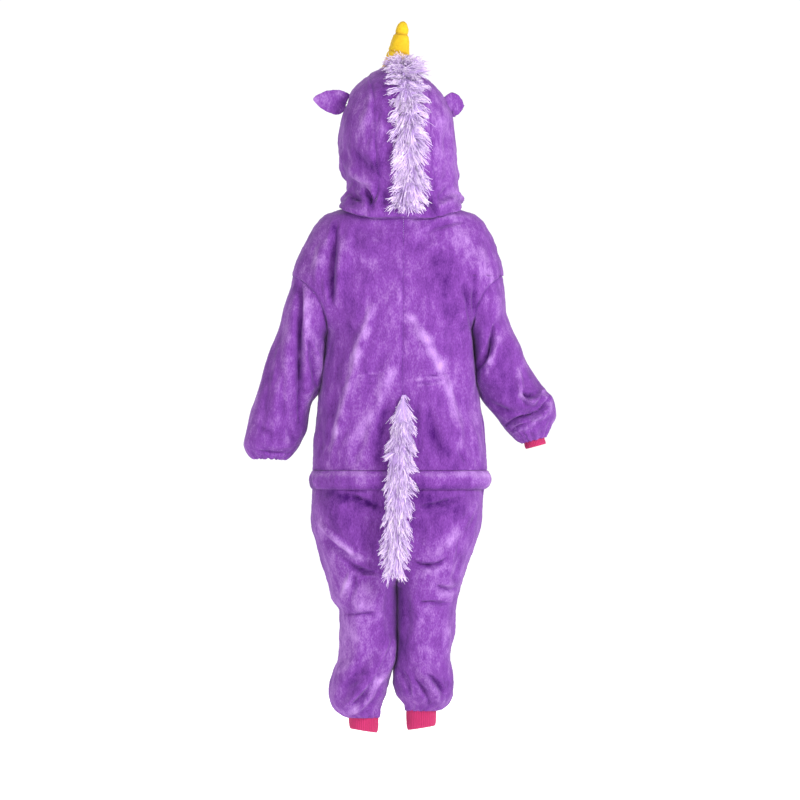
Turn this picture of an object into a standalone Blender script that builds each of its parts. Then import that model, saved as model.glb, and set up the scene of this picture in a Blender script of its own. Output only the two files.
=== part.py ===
"""Child's hooded plush onesie with a unicorn hood: horn, ears, fringe mane and fringe tail.

Every panel is a thin wall of cloth in its worn, hollow form. Tables and sizes are in millimetres, and
meshes are made in metres. +X is the wearer's right, +Y is the way the wearer faces and +Z is up. The
origin is the middle of the neck opening, level with the tops of the shoulders that carry the garment.
"""

import functools
import math

import bmesh
import bpy
import numpy as np

MM = 0.001

CLOTH = 2.5  # plush cloth with its pile
RIB = 3.0  # ribbed cuff, two layers of knit
SEAM = 0.6  # gap between pieces that are sewn together
LAID_ON = 0.8  # gap under a piece that lies on a panel
NECK_GAP = 2  # the hood stands this high over the neck seam, hidden by its roll

SLEEVE_AROUND = 16
HOOD_COLUMNS = 9
BODY_ROUND = 2.4  # superellipse powers: 2 is an ellipse, more is squarer
LEG_ROUND = 2.2
SLEEVE_ROUND = 2.2
HOOD_ROUND = 2.25

NECK_SIDE_Z = 6  # where the neck seam crosses the shoulder seam
NECK_DEPTH = {"back": 88, "front": 90}
NECK_ROUND = 3

HOOD_TURN = math.radians(6)  # the hood looks a little to the wearer's left
HOOD_TURN_FULL_Z = 70  # height above the neck where the turn is complete
HOOD_TURN_Y = -8  # the turn's axis is this far behind the origin
HOOD_REACH = 34  # height over which the hood takes up the neck's shape
HOOD_TOP_Z = 271
GUSSET_HALF = 52  # half the width of the strip along the middle of the hood
GUSSET_LINES = (-52, -27, -9, 10, 29, 47, 52)  # the mane lies between the second and the last but one
HOOD_ROWS = (0, 0.05, 0.1, 0.16, 0.25, 0.35, 0.46, 0.57, 0.68, 0.77, 0.84, 0.9, 0.95, 0.98, 1)
FACE_ROW = 10  # the row where the face opening ends and the seam to the middle strip starts

CROTCH_Z = -695
CROTCH_CURVE = 120  # height over which the centre seams run in to the crotch
LEG_BLEND = 190  # height over which the rest of the body's ring becomes two legs
SEAT_TOP_Z = -479  # the back's lower edge, where its hem band starts
SEAT_BOTTOM_Z = -515  # lower edge of the hem band
SEAT_PANEL_TOP_Z = -486  # the leg panels start under the band
SEAT_TUCK = 7  # how far the leg panels lie inside the band there

PLACKET_HALF = 17
PLACKET_TOP_Z = -46
PLACKET_BOTTOM_Z = -520
BUTTON_COUNT = 5
BUTTON_RADIUS = 9
BUTTON_THICK = 3.5


class Table:
    """Rows of sizes with named columns. A column is read smoothly between its rows."""

    def __init__(self, columns, *rows):
        self.names = columns.split()
        self.rows = np.array(sorted(rows), float)

    def at(self, column, key):
        """The column's value where the table's first column is key, by a cubic that never overshoots."""
        x = self.rows[:, 0]
        y = self.rows[:, self.names.index(column)]
        step = np.diff(x)
        slope = np.diff(y) / step
        tangent = np.zeros_like(y)
        same_way = slope[:-1] * slope[1:] > 0
        pair = slope[:-1] + slope[1:]
        tangent[1:-1] = np.where(
            same_way, 2 * slope[:-1] * slope[1:] / np.where(same_way, pair, 1), 0
        )
        tangent[0], tangent[-1] = slope[0], slope[-1]
        key = np.clip(np.asarray(key, float), x[0], x[-1])
        i = np.clip(np.searchsorted(x, key) - 1, 0, len(x) - 2)
        t = (key - x[i]) / step[i]
        return (
            y[i] * (2 * t**3 - 3 * t**2 + 1)
            + tangent[i] * step[i] * (t**3 - 2 * t**2 + t)
            + y[i + 1] * (3 * t**2 - 2 * t**3)
            + tangent[i + 1] * step[i] * (t**3 - t**2)
        )


# Half-widths to the wearer's left and right of x = 0, and depths behind and before y = 0.
BODY = Table(
    "z left right back front",
    (6, 110, 104, 78, 72),
    (-6, 147, 137, 86, 79),
    (-28, 168, 156, 96, 87),
    (-50, 179, 167, 103, 93),
    (-72, 190, 175, 108, 98),
    (-95, 200, 183, 112, 102),
    (-117, 206, 186, 115, 105),
    (-150, 201, 181, 117, 108),
    (-190, 172, 158, 118, 110),
    (-225, 141, 131, 118, 111),
    (-270, 145, 132, 117, 112),
    (-320, 151, 136, 116, 113),
    (-362, 158, 143, 117, 114),
    (-407, 165, 151, 121, 116),
    (-451, 167, 155, 126, 118),
    (-479, 167, 156, 129, 119),
    (-520, 169, 151, 130, 119),
    (-563, 171, 147, 128, 117),
    (-585, 170, 144, 125.5, 115.5),
    (-607, 164, 138, 122, 113),
    (-652, 151, 122, 114, 108),
    (-695, 138, 107, 106, 101),
)
CENTRE = Table("z x", (6, 1), (-200, 0), (-479, -3), (-640, -11), (-700, -11))
LEGS = {
    "left": Table(
        "z outer inner back front",
        (-695, -138, -11.7, 97, 93),
        (-722, -131, -11.7, 91, 88),
        (-741, -119, -11.7, 86, 84),
        (-786, -118, -12.5, 76, 78),
        (-830, -119, -16.5, 72, 75),
        (-852, -129, -24, 71, 76),
        (-875, -136, -28, 70, 76),
        (-897, -138, -31, 68, 74),
        (-917, -133, -39, 60, 66),
        (-932, -121, -42, 45, 50),
        (-941, -104, -43, 34, 37),
    ),
    "right": Table(
        "z outer inner back front",
        (-695, 107, -10.3, 97, 93),
        (-722, 101, -10.3, 90, 88),
        (-741, 98, -10.3, 85, 83),
        (-786, 95, -10.3, 75, 76),
        (-830, 89, -12, 70, 73),
        (-852, 93, -15.5, 70, 74),
        (-875, 94, -17, 68, 73),
        (-897, 92, -12, 62, 68),
        (-911, 86, -2, 50, 56),
        (-921, 77, 3, 39, 43),
        (-928, 65, 3, 34, 37),
    ),
}
# A sleeve ring has its outer and inner points in the x-z plane, the y of its middle and half its depth.
SLEEVES = {
    "left": Table(
        "ring outer_x outer_z inner_x inner_z y depth",
        (1, -212, -150, -146, -243, 0, 76),
        (2, -224, -188, -147.5, -268, 1, 72),
        (3, -236, -225, -149, -292, 2, 69),
        (4, -249, -262, -152, -316, 4, 66),
        (5, -261, -300, -158, -336, 6, 64),
        (6, -273, -336, -170, -354, 8, 62),
        (7, -284, -372, -176, -378, 10, 60),
        (8, -292, -405, -179, -404, 12, 57),
        (9, -297, -430, -189, -427, 13, 52),
        (10, -290, -447, -203, -447, 14, 44),
        (11, -278, -458, -219, -460, 14, 34),
        (12, -272, -455, -226, -457, 14, 28.5),
    ),
    "right": Table(
        "ring outer_x outer_z inner_x inner_z y depth",
        (1, 190, -150, 134, -243, 0, 76),
        (2, 191, -180, 135, -268, 2, 73),
        (3, 200, -208, 136.5, -292, 5, 71),
        (4, 214, -238, 139, -316, 9, 70),
        (5, 229, -272, 143.5, -336, 13, 68),
        (6, 246, -306, 153, -356, 17, 66),
        (7, 264, -328, 165, -372, 20, 65),
        (8, 281, -346, 178, -388, 22, 62),
        (9, 286, -376, 190, -403, 24, 57),
        (10, 278, -397, 202, -414, 25, 50),
        (11, 272, -409, 213, -424, 25, 39),
        (12, 267, -418, 223, -430, 25, 30),
    ),
}
# The armhole seam seen from behind is a quadratic curve from the top of the arm to the armpit.
ARMHOLES = {
    "left": ((-206, -117), (-142, -150), (-141, -225)),
    "right": ((185, -117), (133, -147), (131, -225)),
}
# Middle of the hood and its half-width, depths behind and before y = 0, and y of the face edge.
HOOD = Table(
    "z middle half back front edge",
    (-40, 0, 100, 80, 84, 82),
    (0, 0, 105, 90, 88, 82),
    (25, 0, 104, 98, 93, 80),
    (54, 0, 104, 106, 99, 77),
    (69, -3, 106, 110, 102, 76),
    (84, -7, 107, 113, 104, 75),
    (113, -9, 108.5, 117, 107, 75),
    (143, -10, 107.5, 118, 107, 77),
    (173, -10, 104, 115, 105, 83),
    (195, -10, 97, 107, 101, 92),
    (217, -11, 87, 96, 92, 110),
    (235, -12, 74, 81, 79, 110),
    (250, -13, 58, 63, 62, 110),
    (262, -14, 40, 43, 42, 110),
    (268, -14, 25, 27, 26, 110),
    (272, -14, 4, 4, 4, 110),
)
# Soft ridges (+) and troughs (-) between two places seen from behind.
FOLDS = Table(
    "x0 z0 x1 z1 width depth",
    (-70, -219, -128, -458, 24, 6),
    (24, -219, 90, -430, 24, 6),
    (-104, -200, -140, -440, 16, -5),
    (108, -150, 128, -330, 16, 5),
    (88, -160, 104, -340, 16, -5),
    (-150, -530, -62, -640, 20, 5),
    (122, -535, 40, -610, 20, 5),
    (-110, -545, -30, -585, 18, -6),
    (100, -560, 10, -575, 18, -6),
    (-18, -790, -112, -936, 14, 7),
    (-45, -800, -118, -905, 14, -7),
    (30, -840, 70, -915, 12, 6),
    (52, -820, 88, -890, 12, -6),
    (172, -372, 240, -380, 12, -7),
    (188, -400, 284, -348, 9, -9),
    (205, -392, 282, -330, 12, 5),
    (176, -215, 140, -300, 14, -6),
    (205, -235, 150, -322, 14, 5),
    (-196, -128, -190, -395, 12, -5),
)
MIRRORED_FRONT_FOLDS = 0.6  # the hidden front gets the same folds, this deep
SEAT_BAND_BULGE = 9
HOOD_ROLL = {"left": 14, "right": 9}  # how far the hood's lower edge rolls out over the neck seam
HOOD_ROLL_DROP = 4
HOOD_ROLL_HEIGHT = 11
HOOD_ROLL_SPREAD = 12

MANE_FIRST_ROW = 2  # rows of the middle strip that the mane covers
MANE_LAST_ROW = 19
MANE = Table(
    "along height",
    (0, 7),
    (0.12, 14),
    (0.5, 15),
    (0.8, 19),
    (0.92, 20),
    (1, 11),
)
TAIL = Table(
    "z x y half_width half_depth",
    (-334, 2, -124, 8, 5),
    (-350, 0, -130, 20, 9),
    (-385, -1, -136, 32, 13),
    (-416, -2, -140, 34, 14),
    (-455, -6, -147, 37, 15),
    (-500, -8, -156, 38, 15),
    (-560, -11, -155, 37, 15),
    (-613, -14, -149, 34, 15),
    (-655, -15, -144, 27, 13),
    (-684, -14, -140, 10, 7),
)
HORN_BASE = (-15, 52, 256)
HORN_TIP = (1, 74, 360)
HORN = Table(
    "along radius",
    (0, 27),
    (0.12, 27),
    (0.2, 24),
    (0.3, 23.5),
    (0.42, 21),
    (0.48, 18.5),
    (0.6, 18),
    (0.7, 15.5),
    (0.78, 12.5),
    (0.88, 11.5),
    (0.95, 8),
    (1, 3.5),
)
# An ear's root, its tip, half its greatest width and its thickness.
EARS = {
    "left": ((-100, 2, 203), (-167, -8, 212), 23, 9),
    "right": ((80, 20, 203), (114, 46, 201), 23, 9),
}


def lerp(a, b, t):
    return a + (b - a) * t


def power_cos(angle, power):
    """cos and sin of an angle, bent so that they trace a superellipse."""
    c, s = np.cos(angle), np.sin(angle)
    return (
        np.sign(c) * np.abs(c) ** (2 / power),
        np.sign(s) * np.abs(s) ** (2 / power),
    )


def fold_height(x, z):
    """Sum of all the folds at a place seen from behind."""
    total = np.zeros_like(x)
    for x0, z0, x1, z1, width, depth in FOLDS.rows:
        length = math.hypot(x1 - x0, z1 - z0)
        along = ((x - x0) * (x1 - x0) + (z - z0) * (z1 - z0)) / length**2
        off = ((x - x0) * (z1 - z0) - (z - z0) * (x1 - x0)) / length
        ends = np.clip(np.minimum(along, 1 - along) * 5 + 0.5, 0, 1)
        total += depth * np.exp(-((off / width) ** 2)) * ends**2 * (3 - 2 * ends)
    return total


def grid_normals(points, wrap, outwards_from):
    """Unit normals of a grid of points, pointing away from outwards_from."""
    if wrap:
        padded = np.concatenate([points[:, -1:], points, points[:, :1]], axis=1)
        across = (padded[:, 2:] - padded[:, :-2]) / 2
    else:
        across = np.gradient(points, axis=1)
    down = np.gradient(points, axis=0)
    normals = np.cross(across, down)
    normals /= np.maximum(np.linalg.norm(normals, axis=2, keepdims=True), 1e-9)
    away = points - outwards_from
    if (normals * away).sum() < 0:
        normals = -normals
    return normals


def flattened(normals, axis):
    """Normals with no part along an axis, so that pieces that meet there share one edge face."""
    axis = np.array(axis, float)
    axis /= np.linalg.norm(axis)
    flat = normals - (normals @ axis)[..., None] * axis
    return flat / np.maximum(np.linalg.norm(flat, axis=-1, keepdims=True), 1e-9)


def add_object(name, vertices, faces, material):
    mesh = bpy.data.meshes.new(name)
    mesh.from_pydata((np.asarray(vertices) * MM).tolist(), [], faces)
    shape = bmesh.new()
    shape.from_mesh(mesh)
    if shape.calc_volume(signed=True) < 0:
        bmesh.ops.reverse_faces(shape, faces=shape.faces)
    shape.to_mesh(mesh)
    shape.free()
    mesh.materials.append(material)
    mesh.shade_smooth()
    mesh.set_sharp_from_angle(angle=math.radians(50))
    made = bpy.data.objects.new(name, mesh)
    bpy.context.scene.collection.objects.link(made)
    return made


def add_wall(name, outer, inner, material, wrap=False):
    """A closed wall between two grids of the same size. A wrapped grid closes on itself, as a tube does."""
    rows, columns = outer.shape[:2]
    vertices = np.concatenate([outer.reshape(-1, 3), inner.reshape(-1, 3)])
    count = rows * columns

    def index(row, column, layer):
        return layer * count + row * columns + column % columns

    faces = []
    spans = columns if wrap else columns - 1
    for r in range(rows - 1):
        for c in range(spans):
            for ring in (((r, c), (r, c + 1), (r + 1, c + 1)), ((r, c), (r + 1, c + 1), (r + 1, c))):
                faces.append([index(a, b, 0) for a, b in ring])
                faces.append([index(a, b, 1) for a, b in reversed(ring)])
    rims = [[(0, c) for c in range(spans + 1)], [(rows - 1, c) for c in range(spans, -1, -1)]]
    if not wrap:
        rims.append([(r, 0) for r in range(rows - 1, -1, -1)])
        rims.append([(r, columns - 1) for r in range(rows)])
    for rim in rims:
        for (a, b), (c, d) in zip(rim, rim[1:]):
            faces.append([index(a, b, 1), index(c, d, 1), index(c, d, 0), index(a, b, 0)])
    return add_object(name, vertices, faces, material)


def sign_of(side):
    return -1 if side == "left" else 1


def shell(side, face, angle, z):
    """A point of the body's shell. The angle runs from 0 at the centre seam to a quarter turn at the side."""
    centre = CENTRE.at("x", z)
    half = BODY.at(side, z) + sign_of(side) * -centre
    depth = BODY.at(face, z) * (-1 if face == "back" else 1)
    c, s = power_cos(angle, BODY_ROUND)
    return np.stack([centre + sign_of(side) * half * s, depth * c, z], axis=-1)


def leg(side, face, angle, z):
    """A point of a leg's ring. The angle runs from 0 at the inseam to a half turn at the side seam."""
    table = LEGS[side]
    outer, inner = table.at("outer", z), table.at("inner", z)
    depth = table.at(face, z) * (-1 if face == "back" else 1)
    c, s = power_cos(angle, LEG_ROUND)
    return np.stack([(outer + inner) / 2 - (outer - inner) / 2 * c, depth * s, z], axis=-1)


def armhole(side, t):
    """x and z of the armhole seam, t running from 0 over the arm to 1 at the armpit."""
    a, b, c = (np.array(p, float) for p in ARMHOLES[side])
    t = np.asarray(t, float)[..., None]
    return a * (1 - t) ** 2 + 2 * b * t * (1 - t) + c * t**2


def side_angle(side, x, z):
    """The shell's angle at which it has this x, at height z."""
    centre = CENTRE.at("x", z)
    half = BODY.at(side, z) + sign_of(side) * -centre
    share = np.clip(np.abs(x - centre) / half, 0, 1)
    return np.arcsin(share ** (BODY_ROUND / 2))


def leg_share(share, z):
    """0 where a place of the panel is on the body's ring, 1 where it is on a leg's ring. The centre seam
    bends in to the crotch late and sharply, the rest of the panel early and softly."""
    sharp = np.clip((z - CROTCH_Z) / CROTCH_CURVE, 0, 1)
    soft = np.clip((z - CROTCH_Z) / LEG_BLEND, 0, 1)
    at_seam = 1 - np.sqrt(1 - (1 - sharp) ** 2)
    beside = (1 - soft) ** 2 * (1 + 2 * soft)
    return lerp(at_seam, beside, 1 - (1 - share) ** 2)


def neck_ring(side, face, share):
    """A point of the neck seam, its share running from 0 at the centre to 1 on the shoulder. Seen from above
    the seam is a rounded rectangle; its height is where that meets the body's shell."""
    c, s = power_cos(np.asarray(share, float) * math.pi / 2, NECK_ROUND)
    centre = CENTRE.at("x", NECK_SIDE_Z)
    x = centre + (sign_of(side) * BODY.at(side, NECK_SIDE_Z) - centre) * s
    y = NECK_DEPTH[face] * c * (-1 if face == "back" else 1)
    low, high = np.full(x.shape, -90.0), np.full(x.shape, float(NECK_SIDE_Z))
    for _ in range(30):
        z = (low + high) / 2
        centre = CENTRE.at("x", z)
        half = BODY.at(side, z) - sign_of(side) * centre
        outside = (np.abs(x - centre) / half) ** BODY_ROUND + (np.abs(y) / BODY.at(face, z)) ** BODY_ROUND > 1
        low, high = np.where(outside, low, z), np.where(outside, z, high)
    return np.stack([x, y, z], axis=-1)


def neck_rows(face):
    """Centre height and shoulder height of each row below the neck that ends on the shoulder seam."""
    outer = (-4, -20, -46, -80, -117)
    inner = (-24, -40, -62, -88, -118) if face == "back" else (-46, -58, -76, -97, -120)
    return list(zip(inner, outer))


def body_rows(side, face, upper, lower, columns):
    """Grid points of a body panel from one height to another; rows above the armpit follow the shoulder."""
    share = np.linspace(0, 1, columns)
    rows = []
    if upper > 0:
        rows.append(neck_ring(side, face, share))
        for inner_z, outer_z in neck_rows(face):
            rows.append(shell(side, face, share * math.pi / 2, lerp(inner_z, outer_z, share**1.5)))
        for t in np.arange(1, SLEEVE_AROUND // 2 + 1) / (SLEEVE_AROUND // 2):
            outer_x, outer_z = armhole(side, t)
            z = lerp(lerp(rows_inner(face), ARMHOLES[side][2][1], t), outer_z, share**2)
            rows.append(shell(side, face, share * side_angle(side, outer_x, outer_z), z))
    levels = [z for z in BODY_LEVELS + LEG_LEVELS if lower <= z <= min(upper, -226)]
    for z in sorted(set(levels + [lower]), reverse=True):
        torso = shell(side, face, share * math.pi / 2, np.full(columns, max(z, CROTCH_Z), float))
        power = lerp(0.65, 1, np.clip((CROTCH_Z - z) / 130, 0, 1))
        ring = leg(side, face, share**power * math.pi, np.full(columns, min(z, CROTCH_Z), float))
        if z > CROTCH_Z:  # the ring keeps the body's width and depth
            wide, deep = (shell(side, face, a, np.array([z, CROTCH_Z], float)) for a in (math.pi / 2, 0.0))
            ring[:, 0] = wide[0, 0] + (ring[:, 0] - wide[1, 0]) * (wide[0, 0] - deep[0, 0]) / (wide[1, 0] - deep[1, 0])
            ring[:, 1] *= deep[0, 1] / deep[1, 1]
        ring[:, 2] = torso[:, 2] = z
        rows.append(lerp(torso, ring, leg_share(share, z)[:, None]))
    return np.array(rows)


def rows_inner(face):
    """Height at the centre seam of the last row that ends on the shoulder."""
    return neck_rows(face)[-1][0]


BODY_LEVELS = (-255, -290, -325, -362, -400, -440, -479, -486, -500, -520, -555, -590, -625, -655, -678)
LEG_LEVELS = (-690, -695, -720, -750, -786, -825, -852, -878, -902, -920, -933)


def panel(name, side, face, upper, lower, columns, material):
    """A front or back panel: from the shoulder or from the seat, down to the seat or to the ankle."""
    end = LEGS[side].rows[0, 0]
    lower = max(lower, end)
    points = body_rows(side, face, upper, lower, columns)
    if lower == end:
        points = points[points[:, 0, 2] >= end]
    heights = points[:, :, 2]
    if upper <= SEAT_PANEL_TOP_Z:
        tuck = SEAT_TUCK * np.clip((heights - SEAT_BOTTOM_Z + 30) / 55, 0, 1)
    else:
        tuck = np.zeros_like(heights)
    middle = np.array([points[:, :, 0].mean(), 0, 0])
    away_from = points * [0, 0, 1] + middle * [1, 0, 0]
    normals = edged(grid_normals(points, False, away_from), points, side, face)
    facing = np.clip(normals[:, :, 1] * (-1 if face == "back" else 1), 0, 1)
    lift = fold_height(points[:, :, 0], heights) * facing
    if face == "front":
        lift *= MIRRORED_FRONT_FOLDS
    points = points + normals * (lift - tuck)[:, :, None]
    points = spaced_from_seams(points, side, face)
    normals = edged(grid_normals(points, False, away_from), points, side, face)
    return add_wall(name, points, points - normals * CLOTH, material)


def edged(normals, points, side, face):
    """The panel's normals with its seam edges squared, so that the neighbouring walls meet in a plane."""
    normals = normals.copy()
    legs = points[:, 0, 2] <= CROTCH_Z
    normals[~legs, 0] = flattened(normals[~legs, 0], (1, 0, 0))
    normals[legs, 0] = flattened(normals[legs, 0], (0, 1, 0))
    normals[:, -1] = flattened(normals[:, -1], (0, 1, 0))
    normals[0] = flattened(normals[0], (0, 0, 1))
    normals[-1] = flattened(normals[-1], (0, 0, 1))
    for row in range(len(points)):
        x, y, z = points[row, -1]
        if abs(y) > 5 and z > ARMHOLES[side][2][1]:
            normals[row, -1] = arm_radial(side, points[row, -1])
    return normals


def arm_axis(side):
    """The way the sleeve leaves the armhole."""
    top, _, pit = ARMHOLES[side]
    along = np.array([top[0] - pit[0], 0, top[1] - pit[1]], float)
    out = np.array([-along[2], 0, along[0]]) * -1
    return out / np.linalg.norm(out) * (1 if out[0] * sign_of(side) > 0 else -1)


def arm_radial(side, point):
    """The direction away from the middle of the armhole, in its plane."""
    top, _, pit = ARMHOLES[side]
    middle = np.array([(top[0] + pit[0]) / 2, 0, (top[1] + pit[1]) / 2])
    return flattened((point - middle)[None], arm_axis(side))[0]


def spaced_from_seams(points, side, face):
    """The panel's edges drawn in by half a seam gap."""
    points = points.copy()
    legs = points[:, 0, 2] <= CROTCH_Z
    half = SEAM / 2
    backwards = -1 if face == "back" else 1
    points[~legs, 0, 0] += sign_of(side) * half
    points[legs, 0, 1] += backwards * half
    on_side = np.abs(points[:, -1, 1]) <= 5
    points[on_side, -1, 1] += backwards * half
    return points


def sleeve_ring(side, ring, angles):
    """One ring of a sleeve; the angle runs from 0 on the outside of the arm, through the back."""
    table = SLEEVES[side]
    outer = np.array([table.at("outer_x", ring), 0, table.at("outer_z", ring)])
    inner = np.array([table.at("inner_x", ring), 0, table.at("inner_z", ring)])
    c, s = power_cos(angles, SLEEVE_ROUND)
    points = (outer + inner) / 2 + (outer - inner) / 2 * c[:, None]
    points[:, 1] = table.at("y", ring) - table.at("depth", ring) * s
    return points


def armhole_ring(side, angles):
    """The armhole seam as a ring that matches the sleeve's angles."""
    t = np.where(angles <= math.pi, angles, 2 * math.pi - angles) / math.pi
    place = armhole(side, t)
    back = shell(side, "back", side_angle(side, place[:, 0], place[:, 1]), place[:, 1])
    front = shell(side, "front", side_angle(side, place[:, 0], place[:, 1]), place[:, 1])
    return np.where((angles <= math.pi)[:, None], back, front)


def sleeve(name, side, around, rings, material):
    angles = np.arange(around) * 2 * math.pi / around
    seam = armhole_ring(side, angles) + arm_axis(side) * SEAM
    points = np.array([seam] + [sleeve_ring(side, r, angles) for r in rings])
    middles = points.mean(axis=1, keepdims=True)
    normals = grid_normals(points, True, middles)
    facing = np.clip(np.abs(normals[:, :, 1]), 0, 1)
    facing = np.where(normals[:, :, 1] > 0, facing * MIRRORED_FRONT_FOLDS, facing)
    near_seam = np.clip(np.arange(len(points)) / 2, 0, 1)[:, None]
    lift = fold_height(points[:, :, 0], points[:, :, 2]) * facing * near_seam
    lift *= np.where(np.arange(len(points)) >= len(points) - 2, 0, 1)[:, None]
    points = points + normals * lift[:, :, None]
    normals = grid_normals(points, True, middles)
    normals[0] = np.array([arm_radial(side, p) for p in points[0]])
    return add_wall(name, points, points - normals * CLOTH, material, wrap=True)


def tube(name, rings, thickness, material):
    """A tube of cloth through rings of points, its thickness going inwards."""
    rings = np.array(rings)
    middles = rings.mean(axis=1, keepdims=True)
    normals = grid_normals(rings, True, middles)
    return add_wall(name, rings, rings - normals * thickness, material, wrap=True)


def wrist_cuff(name, side, below, above, material, around=20):
    """A rib tube inside the sleeve's end, from above its edge to below it."""
    angles = np.arange(around) * 2 * math.pi / around
    end = SLEEVES[side].rows[-1, 0]
    edge = sleeve_ring(side, end, angles)
    middle = edge.mean(axis=0)
    reach = np.linalg.norm(edge - middle, axis=1, keepdims=True)
    edge = middle + (edge - middle) * (1 - (CLOTH + SEAM + 0.4) / reach)
    slant = edge[0] - edge[around // 2]
    down = np.cross(slant, [0, 1, 0])
    down /= np.linalg.norm(down) * (-1 if down[2] > 0 else 1)
    return tube(name, [edge + down * lerp(-above, below, share) for share in (0, 0.5, 1)], RIB, material)


def ankle_cuff(name, side, below, above, material, around=24):
    """A rib tube inside the end of the leg; it drops a little more in front and outside."""
    angles = np.arange(around) * 2 * math.pi / around
    table = LEGS[side]
    end = table.rows[0]
    outer, inner, back, front = (end[table.names.index(n)] for n in ("outer", "inner", "back", "front"))
    c, s = power_cos(angles, LEG_ROUND)
    ease = CLOTH + SEAM + 0.4
    half = abs(outer - inner) / 2 - ease
    x = (outer + inner) / 2 + half * c
    y = np.where(s < 0, s * (back - ease), s * (front - ease))
    heights = [end[0] + above, end[0] - below / 2, end[0] - below]
    rings = []
    for z in heights:
        share = (end[0] + above - z) / (above + below)
        squeeze = 1 - 0.05 * share
        ring = np.stack([(outer + inner) / 2 + (x - (outer + inner) / 2) * squeeze, y * squeeze, 0 * x + z], 1)
        ring[:, 2] += share * 4 * sign_of(side) * c
        rings.append(ring)
    return tube(name, rings, RIB, material)


def seat_band(name, columns, material):
    """The hem band along the back's lower edge: a soft half roll from side seam to side seam."""
    across = np.linspace(-1, 1, columns)
    rows = []
    for share in np.linspace(0, 1, 8):
        z = lerp(SEAT_TOP_Z - SEAM, SEAT_BOTTOM_Z, share)
        line = []
        for a in across:
            side = "left" if a < 0 else "right"
            angle = abs(a) * math.pi / 2 * 0.985
            line.append(shell(side, "back", angle, np.array(z, float)))
        rows.append(line)
    points = np.array(rows)
    normals = grid_normals(points, False, points * [0, 0, 1])
    ends = np.clip((1 - np.abs(across)) * 14, 0, 1) ** 0.5
    share = np.linspace(0, 1, 8)[:, None]
    bulge = SEAT_BAND_BULGE * np.sin(share * math.pi) ** 0.55 * (0.55 + 0.45 * ends)[None, :]
    points = points + normals * (bulge + 0.2)[:, :, None]
    normals = grid_normals(points, False, points * [0, 0, 1])
    normals[0] = flattened(normals[0], (0, 0, 1))
    return add_wall(name, points, points - normals * CLOTH, material)


def hood_shell(angle, z):
    """A point of the hood's shell. The angle runs from 0 at the nape to a half turn at the face, and is
    negative on the wearer's left. Near the neck the shell takes up the neck seam's shape and rolls over it."""
    angle, z = np.broadcast_arrays(np.asarray(angle, float), np.asarray(z, float))
    low = hood_neck_z(angle)
    share = np.clip((z - low) / HOOD_REACH, 0, 1)
    share = (share**2 * (3 - 2 * share))[..., None]
    points = hood_ring(angle, z) + (neck_point(angle) - hood_ring(angle, low)) * (1 - share) * [1, 1, 0]
    roll = np.exp(-(((z - low - HOOD_ROLL_HEIGHT) / HOOD_ROLL_SPREAD) ** 2)) * np.clip((z - low) / 6, 0, 1)
    roll = roll * np.clip(0.5 - points[..., 1] / 90, 0, 1)
    reach = lerp(HOOD_ROLL["left"], HOOD_ROLL["right"], np.clip(points[..., 0] / 160 + 0.5, 0, 1))
    drop = HOOD_ROLL_DROP * np.clip(-points[..., 1] / 60, 0, 1)
    out = points * [1, 1, 0]
    out = out / np.maximum(np.linalg.norm(out, axis=-1, keepdims=True), 1e-9)
    return points + out * (roll * reach)[..., None] - (roll * drop)[..., None] * [0, 0, 1]


def hood_ring(angle, z):
    c, s = power_cos(angle, HOOD_ROUND)
    depth = np.where(c > 0, -HOOD.at("back", z), -HOOD.at("front", z))
    return np.stack([HOOD.at("middle", z) + HOOD.at("half", z) * s, depth * c, z], axis=-1)


@functools.lru_cache
def neck_samples():
    """The whole neck seam as angles from the nape, negative on the left, and points."""
    share = np.linspace(0, 1, 121)
    behind = {side: neck_ring(side, "back", share) for side in ("left", "right")}
    ahead = {side: neck_ring(side, "front", share[:-1])[::-1] for side in ("left", "right")}
    turns = np.concatenate([share, 2 - share[:-1][::-1]]) * math.pi / 2
    halves = {side: np.concatenate([behind[side], ahead[side]]) for side in ("left", "right")}
    return (
        np.concatenate([-turns[::-1], turns[1:]]),
        np.concatenate([halves["left"][::-1], halves["right"][1:]]),
    )


def neck_point(angle):
    """A point of the neck seam at an angle from the nape."""
    turns, points = neck_samples()
    return np.stack([np.interp(angle, turns, points[:, k]) for k in range(3)], axis=-1)


def hood_neck_z(angle):
    """Height of the hood's lower edge, just above the body's."""
    return neck_point(angle)[..., 2] + NECK_GAP


def hood_angle_at(offset, z):
    """The angle at which the ring is this far from its middle, at height z."""
    share = np.clip(np.abs(offset) / np.maximum(HOOD.at("half", z), 1e-6), 0, 1)
    return np.arcsin(share ** (HOOD_ROUND / 2))


def face_edge_angle(z):
    """The angle of the face opening's edge at height z."""
    share = np.clip(HOOD.at("edge", z) / HOOD.at("front", z), 0, 1)
    return math.pi - np.arccos(share ** (HOOD_ROUND / 2))


def hood_turn(z):
    return HOOD_TURN * np.clip(z / HOOD_TURN_FULL_Z, 0, 1)


def hood_placed(points):
    """Hood points with the turn of the head."""
    turn = hood_turn(points[..., 2])
    x, y = points[..., 0], points[..., 1] - HOOD_TURN_Y
    return np.stack(
        [x * np.cos(turn) - y * np.sin(turn), x * np.sin(turn) + y * np.cos(turn) + HOOD_TURN_Y, points[..., 2]],
        axis=-1,
    )


def hood_across(points):
    """The way across the turned hood at each point."""
    turn = hood_turn(points[..., 2])
    return np.stack([np.cos(turn), np.sin(turn), 0 * turn], axis=-1)


def square_to(normals, axes):
    flat = normals - (normals * axes).sum(axis=-1, keepdims=True) * axes
    return flat / np.maximum(np.linalg.norm(flat, axis=-1, keepdims=True), 1e-9)


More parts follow.
